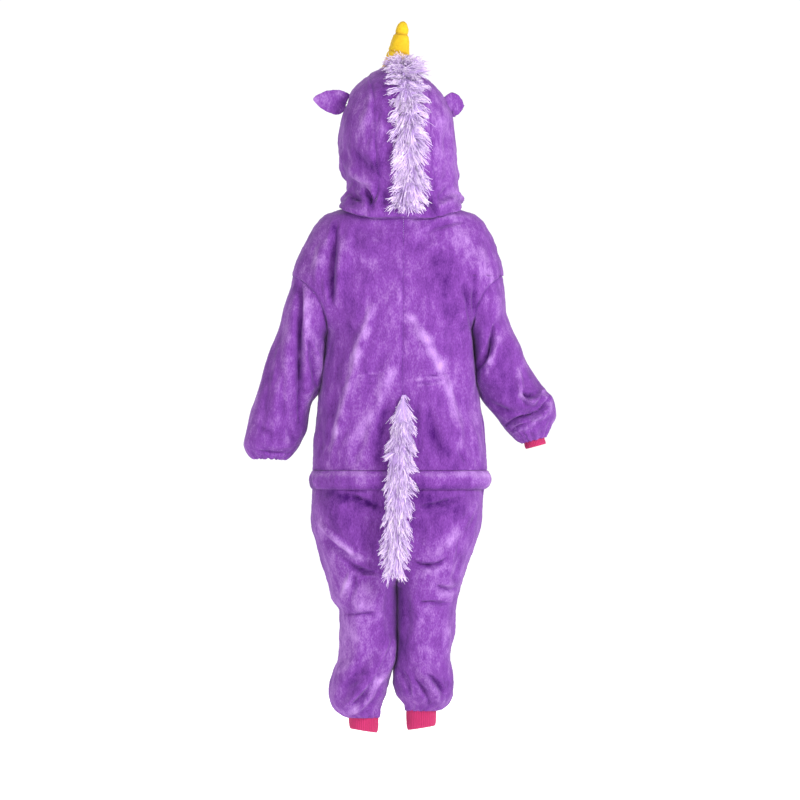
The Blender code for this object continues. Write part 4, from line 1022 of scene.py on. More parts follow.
# creases seen from behind, then seen from the side with y in place of x
hoodCreases = Table(
    "x0 z0 x1 z1 bend width depth",
    (-116, 112, -60, 53, 12, 7, 5), (-92, 116, -44, 72, 9, 11, -4), (-104, 24, -82, 9, 2, 4, -3.4),
    (-98, 36, -78, 22, 3, 6, -3.4), (-72, 46, -57, 6, -2, 5, -4), (-84, 40, -66, 10, -3, 6, 3),
    (-56, 40, -44, 4, -3, 7, 2.4), (46, 24, 62, -3, -2, 6, -4), (60, 6, 106, 40, 5, 6, 3.6),
    (58, 22, 86, 48, 4, 6, -2.8), (70, -4, 104, 14, 3, 5, -2), (50, 60, 74, 92, 4, 9, 1.8),
    (92, 60, 100, 150, -4, 9, 2), (84, 90, 90, 170, -4, 8, -1.8), (-112, 60, -108, 120, 4, 8, -2),
    (-80, 160, -60, 215, 5, 10, 2), (-66, 130, -52, 200, 5, 9, -1.8), (54, 150, 62, 215, -4, 10, -1.6),
    (-30, 40, -34, 6, 2, 6, -2), (34, 36, 30, 2, -2, 6, 2), (-118, 20, -96, 34, 3, 6, 2.4),
)
hoodSideCreases = Table(
    "y0 z0 y1 z1 bend width depth",
    (-70, 60, 30, 20, 8, 7, 3), (-60, 44, 36, 6, 8, 7, -3.4), (-40, 110, 50, 60, 10, 10, 2.4),
    (-20, 92, 60, 40, 8, 8, -2.4), (20, 150, 62, 90, 6, 9, 2), (-50, 20, 30, -12, 6, 5, -2.6),
    (-20, 200, 30, 236, 6, 10, -1.6), (30, 40, 70, 20, 4, 6, 2.4),
)
# where the colour lies lighter (+) or darker (-): nap patches together with painted highlight on the hood's
# ridges and painted shade in its creases
hoodNapAndPaintedLight = Table(
    "x0 z0 x1 z1 width amount",
    (-112, 106, -62, 54, 9, 0.55), (-86, 108, -50, 78, 14, -0.6), (-100, 24, -80, 22, 9, -0.7),
    (-108, 20, -66, 0, 7, 0.4), (-70, 36, -58, 8, 5, -0.6), (50, 18, 60, -4, 8, -0.75),
    (64, 10, 104, 42, 8, 0.5), (84, 60, 98, 150, 12, 0.25), (60, 90, 70, 170, 16, 0.15),
    (-70, 150, -60, 220, 18, 0.25), (-108, 130, -100, 180, 12, -0.35), (-50, 200, -30, 250, 14, -0.2),
    (60, 180, 40, 240, 14, 0.3), (-52, 60, -44, 10, 8, -0.3), (44, 60, 46, 20, 8, -0.25),
    (-92, 60, -76, 48, 8, 0.3),
)


def hoodRing(angle, z):
    c, s = powerCos(angle, hoodLook["round"])
    depth = np.where(c > 0, -hoodTable.at("back", z), -hoodTable.at("front", z))
    return np.stack([hoodTable.at("middle", z) + hoodTable.at("half", z) * s, depth * c, z], axis=-1)


@functools.lru_cache
def neckSamples():
    # the whole neck seam as angles from the nape, negative on the left, and points
    share = np.linspace(0, 1, 121)
    behind = {side: neckRing(side, "back", share) for side in sides}
    ahead = {side: neckRing(side, "front", share[:-1])[::-1] for side in sides}
    turns = np.concatenate([share, 2 - share[:-1][::-1]]) * math.pi / 2
    halves = {side: np.concatenate([behind[side], ahead[side]]) for side in sides}
    return np.concatenate([-turns[::-1], turns[1:]]), np.concatenate(
        [halves["left"][::-1], halves["right"][1:]]
    )


def neckPoint(angle):
    turns, points = neckSamples()
    return np.stack([np.interp(angle, turns, points[:, k]) for k in range(3)], axis=-1)


def hoodNeckZ(angle):
    return neckPoint(angle)[..., 2] + neckGap


def hoodShell(angle, z):
    # a place on the hood; the angle runs from 0 at the nape to a half turn at the face
    angle, z = np.broadcast_arrays(np.asarray(angle, float), np.asarray(z, float))
    low = hoodNeckZ(angle)
    share = np.clip((z - low) / hoodLook["reach"], 0, 1)
    share = (share**2 * (3 - 2 * share))[..., None]
    points = hoodRing(angle, z) + (neckPoint(angle) - hoodRing(angle, low)) * (1 - share) * [1, 1, 0]
    roll = (
        np.exp(-(((z - low - hoodLook["rollHeight"]) / hoodLook["rollSpread"]) ** 2))
        * np.clip((z - low) / 6, 0, 1)
    )
    roll = roll * np.clip(0.5 - points[..., 1] / 90, 0, 1)
    reach = lerp(hoodLook["rollLeft"], hoodLook["rollRight"], np.clip(points[..., 0] / 160 + 0.5, 0, 1))
    drop = hoodLook["rollDrop"] * np.clip(-points[..., 1] / 60, 0, 1)
    return (
        points
        + unit(points * [1, 1, 0]) * (roll * reach)[..., None]
        - (roll * drop)[..., None] * [0, 0, 1]
    )


def hoodAngleAt(offset, z):
    share = np.clip(np.abs(offset) / np.maximum(hoodTable.at("half", z), 1e-6), 0, 1)
    return np.arcsin(share ** (hoodLook["round"] / 2))


def faceEdgeAngle(z):
    share = np.clip(hoodTable.at("edge", z) / hoodTable.at("front", z), 0, 1)
    return math.pi - np.arccos(share ** (hoodLook["round"] / 2))


def hoodTurn(z):
    return hoodLook["turn"] * np.clip(z / hoodLook["turnFullZ"], 0, 1)


def hoodPlaced(points):
    turn = hoodTurn(points[..., 2])
    x, y = points[..., 0], points[..., 1] - hoodLook["turnY"]
    c, s = np.cos(turn), np.sin(turn)
    return np.stack([x * c - y * s, x * s + y * c + hoodLook["turnY"], points[..., 2]], axis=-1)


@functools.lru_cache
def hoodSideGrid(side):
    # rows rise from the neck to the top of the seam, columns run from the strip's back seam to the face
    fine = np.linspace(150, hoodLook["topZ"], 2000)
    top = fine[hoodTable.at("half", fine) > hoodLook["stripHalf"] + 0.5].max()
    across = np.linspace(0, 1, hoodLook["sideColumns"])
    angle = across * math.pi
    grid, faceRow = [], 0
    for row, share in enumerate(np.linspace(0, 1, hoodLook["sideRows"])):
        for _ in range(12):
            z = lerp(hoodNeckZ(angle), top, share)
            first = hoodAngleAt(hoodLook["stripHalf"], z[0])
            face = faceEdgeAngle(z[-1])
            seam = math.pi - hoodAngleAt(hoodLook["stripHalf"], z[-1])
            angle = lerp(first, min(face, seam), across)
        if seam >= face:
            faceRow = row + 1
        grid.append(hoodShell(signOf(side) * angle, z))
    return np.array(grid), faceRow


def stripEdge(side):
    # the seam between the strip and a side, from the nape to the face
    grid, faceRow = hoodSideGrid(side)
    return np.concatenate([grid[:, 0], grid[-1, 1:-1], grid[faceRow:, -1][::-1]])


def stripLine(offset, shares):
    sign = 1 if offset >= 0 else -1
    low = hoodNeckZ(0.0)
    for _ in range(8):
        low = hoodNeckZ(hoodAngleAt(offset, low))
    heights = low + (hoodLook["topZ"] - low) * np.sin(np.linspace(0, 1, 900) * math.pi / 2)
    heights = heights[hoodTable.at("half", heights) > abs(offset) + 0.2]
    behind = hoodShell(sign * hoodAngleAt(offset, heights), heights)
    rim = stripEdge("right")[-1][2]
    heights = heights[heights >= rim][::-1]
    ahead = hoodShell(sign * (math.pi - hoodAngleAt(offset, heights)), heights)
    line = np.concatenate([behind, ahead])
    along = np.concatenate([[0], np.cumsum(np.linalg.norm(np.diff(line, axis=0), axis=1))])
    return np.stack(
        [np.interp(np.asarray(shares) * along[-1], along, line[:, k]) for k in range(3)], axis=1,
    )


@functools.lru_cache
def stripGrid():
    # rows run from the nape over the top to the face, columns from left to right
    left, right = (stripEdge(side) for side in sides)
    count = min(len(left), len(right))
    left, right = left[:count], right[:count]
    along = np.concatenate([[0], np.cumsum(np.linalg.norm(np.diff(right, axis=0), axis=1))])
    offsets = np.linspace(-hoodLook["stripHalf"], hoodLook["stripHalf"], hoodLook["stripColumns"])[1:-1]
    return np.stack([left] + [stripLine(o, along / along[-1]) for o in offsets] + [right], axis=1)


def hoodLift(points, normals, seed):
    # the creases of the hood, each seen from the side it faces
    x, y, z = points[..., 0], points[..., 1], points[..., 2]
    behind = np.clip(-normals[..., 1], 0, 1) ** 0.7
    beside = np.clip(np.abs(normals[..., 0]), 0, 1) ** 2 * np.clip((y + 60) / 60, 0, 1)
    lift = creaseLift(x, z, hoodCreases) * behind + creaseLift(y, z, hoodSideCreases) * beside
    lift = lift * (1 - 0.7 * np.exp(-(((x - 9) / 30) ** 2)) * behind)
    # painted highlight on ridges and painted shade in creases, over the nap patches
    napAndPaintedLight = (
        patches(x, z, hoodNapAndPaintedLight) * behind
        + 0.05 * lift
        + 0.2 * softNoise(points, 110, seed + 3) * (1 - behind)
    )
    return lift + plushUneven(points, seed), napAndPaintedLight


def hemLift(last):
    # the turned hem round the face: a full edge, then its drawn-in stitching
    return 1.6 * np.exp(-(((last - 6) / 5) ** 2)) - 1.5 * np.exp(-(((last - hoodLook["hem"]) / 2.2) ** 2))


def overCollar(points):
    # the hood's lower edge laps a little over the collar seam, and hides it
    angle = np.arctan2(points[..., 0], -points[..., 1])
    fall = np.clip(1 - (points[..., 2] - hoodNeckZ(angle)) / 16, 0, 1) ** 2
    return points + unit(points * [1, 1, 0]) * (fall * 3)[..., None] - (fall * 5.5)[..., None] * [0, 0, 1]


inside = np.array([-10, -8, 100])
strip = overCollar(hoodPlaced(stripGrid()))
stripNormals = gridNormals(strip, False, inside)
stripNormals[0] = flattened(stripNormals[0], (0, 0, 1))
lift, napAndPaintedLight = hoodLift(strip, stripNormals, 120)
distance = edgeDistance(strip, ["first", "last", "top"])
hem = hemLift(edgeDistance(strip, ["bottom"]))
lift = lift * np.clip(distance / 8, 0, 1) + seamPinch(strip, distance, 125) + hem
napAndPaintedLight = napAndPaintedLight - seamShade(distance)
panels["hood_gusset"] = dress(
    finishPlush(
        "hood_strip_cloth", strip, stripNormals, lift, napAndPaintedLight, plush,
        renormal=lambda p: gridNormals(p, False, inside),
    ),
    "purple_plush", "hood_gusset",
)
cuts["hood_gusset"] = cutSize(strip)
for side in sides:
    grid, faceRow = hoodSideGrid(side)
    points = overCollar(hoodPlaced(grid))
    normals = gridNormals(points, False, inside)
    normals[0] = flattened(normals[0], (0, 0, 1))
    lift, napAndPaintedLight = hoodLift(points, normals, 120)
    distance = edgeDistance(points, ["first", "top", "bottom"])  # its seams; "last" is the face
    last = edgeDistance(points, ["last"])
    rows = np.arange(len(points))[:, None]
    onSeam = np.clip((rows - faceRow + 4) / 4, 0, 1)
    distance = np.minimum(distance, np.where(onSeam > 0.99, last, 1e3))
    hem = hemLift(last) * (1 - onSeam)
    lift = lift * np.clip(distance / 8, 0, 1) + seamPinch(points, distance, 125) + hem
    napAndPaintedLight = napAndPaintedLight - seamShade(distance)
    cuts[f"hood_{side}"] = cutSize(points)
    panels[f"hood_{side}"] = dress(
        finishPlush(
            f"hood_{side}_cloth", points, normals, lift, napAndPaintedLight, plush,
            renormal=lambda p: gridNormals(p, False, inside),
        ),
        "purple_plush", f"hood_{side}",
    )
print("hood made")


# stuffed horn and ears

hornLook = {
    "base": (-15, 52, 256), "tip": (1, 74, 360), "rings": 120, "around": 88,
    "grooves": (0.15, 0.42, 0.77), "grooveDepth": 1.5, "grooveWidth": 0.022, "tilt": 0.03,
}
hornTable = Table(
    "along radius",
    (0, 27), (0.12, 27), (0.2, 24.6), (0.3, 23.4), (0.42, 20.8), (0.5, 18.8), (0.6, 17.6), (0.7, 15.4),
    (0.78, 12.8), (0.88, 11.2), (0.95, 8), (0.985, 4.8), (1, 1.2),
)
earLook = {"rings": 56, "around": 72, "half": 23, "thick": 9, "length": 67}
earPlaces = {"left": ((-100, 2, 203), (-167, -8, 212)), "right": ((80, 20, 203), (114, 46, 201))}


def outsideHood(points):
    # above 0 outside the hood's outer face, below 0 inside it
    turn = -hoodLook["turn"]
    x, y, z = points[:, 0], points[:, 1] - hoodLook["turnY"], points[:, 2]
    c, s = math.cos(turn), math.sin(turn)
    x, y = x * c - y * s, x * s + y * c + hoodLook["turnY"]
    half = np.maximum(hoodTable.at("half", z), 1e-3)
    depth = np.maximum(np.where(y < 0, hoodTable.at("back", z), hoodTable.at("front", z)), 1e-3)
    power = hoodLook["round"]
    found = (np.abs(x - hoodTable.at("middle", z)) / half) ** power + (np.abs(y) / depth) ** power - 1
    return np.where(z >= hoodLook["topZ"], 1, found)


def onHood(points, axis):
    near, far = np.full(len(points), -60.0), np.full(len(points), 60.0)
    for _ in range(40):
        middle = (near + far) / 2
        out = outsideHood(points + middle[:, None] * axis) > 0
        near, far = np.where(out, near, middle), np.where(out, middle, far)
    return points + far[:, None] * axis


def stuffed(middles, across, depthways, halves, deeps, around, shape):
    # rings that stand on the hood, with a lower cap that follows it and a closed tip
    angles = np.arange(around) * 2 * math.pi / around
    axis = unit(middles[-1] - middles[0])
    rings = []
    c, s = shape(angles)
    for middle, half, deep in zip(middles, halves, deeps):
        rings.append(middle + np.outer(c * half, across) + np.outer(s * deep, depthways))
    reach = max(3, int(len(rings) * 0.3))
    for number in range(reach):
        feet = onHood(rings[number], axis)
        above = (rings[number] - feet) @ axis
        rings[number] = feet + np.maximum(above, 0.3 + 40 * number / len(rings))[:, None] * axis
    foot = rings[0] - rings[0].mean(axis=0)
    for share in (0.7, 0.4, 0.07):
        rings.insert(0, onHood(middles[0] + foot * share, axis) + axis * 0.3)
    points = np.array(rings)
    count = len(points)
    index, quads = gridQuads(count, around, True)
    vertices = np.concatenate(
        [points.reshape(-1, 3), points[:1].mean(axis=1), points[-1:].mean(axis=1) + axis * 0.6]
    )
    first, last = count * around, count * around + 1
    ends = []
    for c0, c1 in zip(index[0][:-1], index[0][1:]):
        ends.append([first, c0, c1, c1])
    for c0, c1 in zip(index[-1][:-1], index[-1][1:]):
        ends.append([last, c1, c0, c0])
    faces = turnedOut(vertices, np.concatenate([quads, np.array(ends)]))
    faces = [[v for n, v in enumerate(f) if v != f[n - 1]] for f in faces.tolist()]
    return vertices, faces


def smoothShade(name, vertices, faces, lift, material):
    # moves the surface along its normals by a function of place, then shades it
    made = addMesh(name, vertices, faces, material)
    mesh = made.data
    normal = np.zeros(len(mesh.vertices) * 3, np.float32)
    mesh.vertices.foreach_get("normal", normal)
    amount, napAndPaintedLight = lift(vertices)
    moved = (vertices + normal.reshape(-1, 3) * amount[:, None]) * mm
    mesh.vertices.foreach_set("co", moved.ravel())
    mesh.attributes.new("toneAndPaintedLight", "FLOAT", "POINT").data.foreach_set("value", napAndPaintedLight.astype(np.float32))
    mesh.update()
    return made


base, tip = np.array(hornLook["base"], float), np.array(hornLook["tip"], float)
hornAxis = unit(tip - base)
hornAcross = unit(np.cross(hornAxis, [0, 1, 0]))
share = np.linspace(0, 1, hornLook["rings"])
middles = base + share[:, None] * (tip - base)
radii = hornTable.at("radius", share)
vertices, faces = stuffed(
    middles, hornAcross, np.cross(hornAxis, hornAcross), radii, radii, hornLook["around"],
    lambda a: (np.cos(a), np.sin(a)),
)


def hornLift(places):
    along = (places - base) @ hornAxis / np.linalg.norm(tip - base)
    around = np.arctan2((places - base) @ np.cross(hornAxis, hornAcross), (places - base) @ hornAcross)
    groove = np.zeros(len(places))
    for number, spot in enumerate(hornLook["grooves"]):
        line = spot + hornLook["tilt"] * np.cos(around + 0.8 * number)
        groove += np.exp(-(((along - line) / hornLook["grooveWidth"]) ** 2))
    pucker = groove * 0.5 * np.sin(around * 17)
    lift = (
        -hornLook["grooveDepth"] * groove
        + 0.4 * pucker
        + 0.35 * softNoise(places, 14, 5)
        + 0.12 * softNoise(places, 4, 6)
    )
    # the colour is darker in the grooves: painted shade
    return lift * np.clip((1 - along) * 12, 0.2, 1), -0.7 * groove


horn = dress(smoothShade("horn_padded", vertices, faces, hornLift, gold), "yellow_felt", "horn")
for number, side in enumerate(sides):
    root, point = (np.array(p, float) for p in earPlaces[side])
    axis = unit(point - root)
    upright = flattened(np.array([[0, 0, 1.0]]), axis)[0]
    share = np.linspace(0, 1, earLook["rings"])
    leaf = np.sin(math.pi * (0.22 + 0.77 * share)) ** 0.75 * earLook["half"]
    fat = (1 - 0.55 * share) * earLook["thick"] / 2 * np.clip((1.02 - share) * 9, 0, 1) ** 0.5
    middles = root + share[:, None] * (point - root)
    vertices, faces = stuffed(
        middles, upright, np.cross(axis, upright), leaf, fat, earLook["around"],
        lambda a: (np.cos(a), np.sign(np.sin(a)) * np.abs(np.sin(a)) ** 0.85),
    )

    def earLift(places, root=root, axis=axis, upright=upright, seed=200 + number):
        along = (places - root) @ axis / earLook["length"]
        rise = (places - root) @ upright
        fold = -1.6 * np.exp(-((rise / 5) ** 2)) * np.clip(1.1 - along * 1.4, 0, 1)
        lift = fold + 0.5 * softNoise(places, 20, seed) + 0.16 * softNoise(places, 7, seed + 1)
        return lift, 0.25 * softNoise(places, 30, seed + 2) + 0.12

    ear = smoothShade(f"ear_{side}_padded", vertices, faces, earLift, plush)
    dress(ear, "purple_plush", f"ear_{side}")
print("horn and ears made")


# ribbed cuffs

cuffLook = {"ribs": 46, "perRib": 6, "rows": 20, "wall": 3, "ribDepth": 0.75, "ease": 3.3}


def ribTube(name, node, ringAt, material):
    # a knitted tube whose ribs stand out; ringAt gives a ring of points for a share from top to bottom
    around = cuffLook["ribs"] * cuffLook["perRib"]
    angles = np.arange(around) * 2 * math.pi / around
    shares = np.linspace(0, 1, cuffLook["rows"])
    points = np.array([ringAt(s, angles) for s in shares])
    normals = gridNormals(points, True, points.mean(axis=1, keepdims=True))
    rib = np.cos(angles * cuffLook["ribs"])
    stitch = np.cos(shares * cuffLook["rows"] * 1.2)[:, None] * 0.08
    lift = (
        cuffLook["ribDepth"] * rib[None, :] * 0.5
        + stitch * (rib > 0)
        + 0.4 * softNoise(points, 24, len(name))
    )
    rolled = np.clip((1 - shares) * 7, 0, 1)[:, None]
    outer = points + normals * (lift - 1.2 * (1 - rolled) ** 2)[:, :, None]
    inner = points - normals * (cuffLook["wall"] - 1.0 * (1 - rolled) ** 2 + 0.3 * rib)[:, :, None]
    # lighter on the raised ribs, darker in the valleys between: painted light and shade
    napAndPaintedLight = np.broadcast_to(rib * 0.5 + 0.5, points.shape[:2])
    made = dress(clothShell(name, outer, inner, material, True, {"toneAndPaintedLight": napAndPaintedLight}), "pink_rib", node)
    return made, cutSize(points, True)


def wristRing(side, below, above):
    def ringAt(share, angles):
        edge = sleeveRing(side, 12, angles)
        middle = edge.mean(axis=0)
        reach = np.linalg.norm(edge - middle, axis=1, keepdims=True)
        edge = middle + (edge - middle) * (1 - cuffLook["ease"] / reach)
        slant = edge[0] - edge[len(angles) // 2]
        down = unit(np.cross(slant, [0, 1, 0]))
        down = down if down[2] < 0 else -down
        return edge + down * lerp(-above, below, share)

    return ringAt


def ankleRing(side, below, above):
    end = dict(zip(legTables[side].names, legTables[side].rows[0]))

    def ringAt(share, angles):
        c, s = powerCos(angles, bodyLook["legRound"])
        middle = (end["outer"] + end["inner"]) / 2
        half = abs(end["outer"] - end["inner"]) / 2 - cuffLook["ease"]
        squeeze = 1 - 0.05 * share + 0.03 * math.sin(share * math.pi)
        y = (
            np.where(s < 0, s * (end["back"] - cuffLook["ease"]), s * (end["front"] - cuffLook["ease"]))
            * squeeze
        )
        z = end["z"] + above - share * (above + below) + share * 4 * signOf(side) * c
        return np.stack([middle + half * c * squeeze, y, z], axis=1)

    return ringAt


cuffs = {
    "wrist_cuff_left": wristRing("left", -2, 22), "wrist_cuff_right": wristRing("right", 12, 14),
    "ankle_cuff_left": ankleRing("left", 24, 8), "ankle_cuff_right": ankleRing("right", 32, 8),
}
for name, ringAt in cuffs.items():
    panels[name], cuts[name] = ribTube(f"{name}_knit", name, ringAt, ribKnit)
print("cuffs made")


# hem band across the seat

bandLook = {"columns": 250, "rows": 26, "bulge": 9, "cloth": 2.3, "wobble": 1.3, "reach": 0.985}

across = np.linspace(-1, 1, bandLook["columns"])
shares = np.linspace(0, 1, bandLook["rows"])
grid = []
for share in shares:
    z = lerp(seatTopZ - 0.6, seatBottomZ, share)
    grid.append([
        shell(sides[int(a >= 0)], "back", abs(a) * math.pi / 2 * bandLook["reach"], np.array(z, float))
        for a in across
    ])
points = np.array(grid)
normals = gridNormals(points, False, points * [0, 0, 1])
ends = np.clip((1 - np.abs(across)) * 14, 0, 1) ** 0.5
bulge = bandLook["bulge"] * np.sin(shares[:, None] * math.pi) ** 0.55 * (0.55 + 0.45 * ends)[None, :]
wave = bandLook["wobble"] * softNoise(points * [1, 1, 0.4], 46, 300) + 0.5 * softNoise(points, 17, 301)
knob = 2.4 * np.exp(-(((points[:, :, 0] - 150) / 9) ** 2)) * np.sin(shares[:, None] * math.pi)
lift = bulge + 0.2 + wave * np.sin(shares[:, None] * math.pi) + knob + 0.16 * softNoise(points, 8, 302, 24)
lift = lift - 0.8 * np.exp(-(((shares[:, None] - 0.13) / 0.05) ** 2))
# painted highlight along the roll's top and on the knob at its right end, and painted shade under the roll,
# with random tone
napAndPaintedLight = (
    0.55 * np.exp(-(((shares[:, None] - 0.2) / 0.16) ** 2))
    - 0.35 * np.exp(-(((shares[:, None] - 0.95) / 0.2) ** 2))
)
napAndPaintedLight = napAndPaintedLight + 0.25 * softNoise(points, 40, 303) + 0.5 * np.exp(-(((points[:, :, 0] - 147) / 8) ** 2))
outer = points + normals * lift[:, :, None]
facing = gridNormals(outer, False, outer * [0, 0, 1])
facing[0] = flattened(facing[0], (0, 0, 1))
inner = outer - facing * bandLook["cloth"]
roll = clothShell("seat_band_roll", outer, inner, plush, False, {"toneAndPaintedLight": napAndPaintedLight})
panels["seat_band"] = dress(roll, "purple_plush", "seat_band")
cuts["seat_band"] = cutSize(outer)
print("seat band made")


# front placket and its buttons

placketLook = {
    "half": 17, "top": -46, "bottom": -520, "rows": 190, "columns": 22, "cloth": 2.3, "stitchIn": 3.5,
    "pressed": 0.8,  # how far each button presses in
}
buttonLook = {"count": 5, "radius": 9, "thick": 3.5, "holeReach": 2.3, "segments": 40}


def frontHeight(x, z):
    # y of the front panels' outer face near the middle of the garment
    x, z = np.broadcast_arrays(np.asarray(x, float), np.asarray(z, float))
    left, right = (shell(side, "front", sideAngle(side, x, z), z) for side in sides)
    y = np.where(x < centreTable.at("x", z), left[..., 1], right[..., 1])
    return y * (1 - legShare(0.0, z)) + broadHeight(x, z) * frontFoldShare


z = np.linspace(placketLook["top"], placketLook["bottom"], placketLook["rows"])[:, None]
across = np.linspace(-1, 1, placketLook["columns"])[None, :]
x = centreTable.at("x", z) + across * placketLook["half"]
points = np.stack([x, frontHeight(x, z) + laidOn, z + 0 * across], axis=-1)
normals = gridNormals(points, False, points * [0, 0, 1])
edge = edgeDistance(points, ["first", "last", "bottom"])
lift = 1.2 * (1 - np.exp(-edge / 2)) - 0.9 * np.exp(-(((edge - placketLook["stitchIn"]) / 1.2) ** 2))
lift = lift + 0.5 * softNoise(points, 30, 400) + 0.15 * softNoise(points * [1, 1, 0.5], 8, 401)
spacing = (placketLook["bottom"] - placketLook["top"]) / buttonLook["count"]
buttonHeights = [placketLook["top"] + spacing * (n + 0.5) for n in range(buttonLook["count"])]
for z0 in buttonHeights:
    fromButton = np.hypot(points[..., 2] - z0, points[..., 0] - centreTable.at("x", z0))
    lift = lift - placketLook["pressed"] * np.exp(-((fromButton / 8) ** 2))
# random tone, with painted shade along the stitched groove
napAndPaintedLight = 0.2 * softNoise(points, 40, 402) - 0.3 * np.exp(-(((edge - placketLook["stitchIn"]) / 1.5) ** 2))
panels["placket"] = dress(
    clothShell(
        "placket_strip", points + normals * (placketLook["cloth"] + lift)[:, :, None], points,
        plush, False, {"toneAndPaintedLight": napAndPaintedLight},
    ),
    "purple_plush", "placket",
)
cuts["placket"] = cutSize(points)


def faceOutwards(made):
    shape = bmesh.new()
    shape.from_mesh(made.data)
    bmesh.ops.recalc_face_normals(shape, faces=shape.faces)
    shape.to_mesh(made.data)
    shape.free()


def buttonMesh(name, z0):
    # a turned disc with a raised rim and four holes, then its crossed threads
    radius, thick, around = buttonLook["radius"], buttonLook["thick"], buttonLook["segments"]
    profile = [
        (0, 0), (radius - 1.4, 0), (radius - 0.4, 0.5), (radius, 1.4), (radius, thick - 1.3),
        (radius - 0.5, thick - 0.3), (radius - 1.4, thick), (radius - 2.4, thick - 0.2),
        (radius - 3, thick - 0.9), (radius - 4.2, thick - 1.15), (0, thick - 1.2),
    ]
    angles = np.arange(around) * 2 * math.pi / around
    rings = [
        np.stack([r * np.cos(angles), r * np.sin(angles), 0 * angles + h], axis=1) for r, h in profile[1:-1]
    ]
    vertices = np.concatenate(rings + [[(0, 0, profile[0][1])], [(0, 0, profile[-1][1])]])
    index, quads = gridQuads(len(rings), around, True)
    faces = turnedOut(vertices, quads).tolist()
    bottom, top = len(rings) * around, len(rings) * around + 1
    faces += [[bottom, int(b), int(a)] for a, b in zip(index[0][:-1], index[0][1:])]
    faces += [[top, int(a), int(b)] for a, b in zip(index[-1][:-1], index[-1][1:])]
    centre = float(centreTable.at("x", z0))
    ahead = float(frontHeight(centre, z0)) + laidOn + placketLook["cloth"] + 0.7
    slope = float(frontHeight(centre, z0 + 10) - frontHeight(centre, z0 - 10)) / 20
    tilt = math.atan(slope)
    out = unit(np.array([0, math.cos(tilt), -math.sin(tilt)]))
    up = np.cross(out, [-1, 0, 0])
    up = up if up[2] > 0 else -up

    def placed(points):
        points = np.asarray(points, float)
        return (
            np.array([centre, ahead, z0])
            + points[:, :1] * [-1, 0, 0]
            + points[:, 1:2] * up
            + points[:, 2:] * out
        )

    disc = addMesh(name, placed(vertices), faces, buttonFinish, sharp=60)
    faceOutwards(disc)
    # threads from hole to hole
    reach, level = buttonLook["holeReach"], thick - 1.0
    strands, strandFaces = [], []
    for sx, sy in ((1, 1), (1, -1)):
        path = np.array([
            (sx * reach * share, sy * reach * share, level + rise)
            for share, rise in ((-1, -0.9), (-0.8, 0.35), (0, 0.75), (0.8, 0.35), (1, -0.9))
        ])
        sideways = unit(np.array([sy, -sx, 0], float))
        start = len(strands)
        for p in path:
            for turn in np.arange(8) * math.pi / 4:
                strands.append(
                    p + sideways * 0.55 * math.cos(turn) + np.array([0, 0, 0.4 * math.sin(turn)])
                )
        index, quads = gridQuads(len(path), 8, True)
        strandFaces += (
            (quads + start).tolist()
            + [list(range(start, start + 8)), list(range(start + 32, start + 40))]
        )
    threads = addMesh(f"{name}_thread", placed(np.array(strands)), strandFaces, thread)
    faceOutwards(threads)
    return disc, threads


buttons = []
for number, z0 in enumerate(buttonHeights):
    disc, threads = buttonMesh(f"button_{number + 1}_disc", z0)
    dress(disc, "purple_button", f"button_{number + 1}")
    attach(threads, "root")
    buttons += [disc, threads]
print("placket and buttons made")


# yarn fringe of the mane and the tail


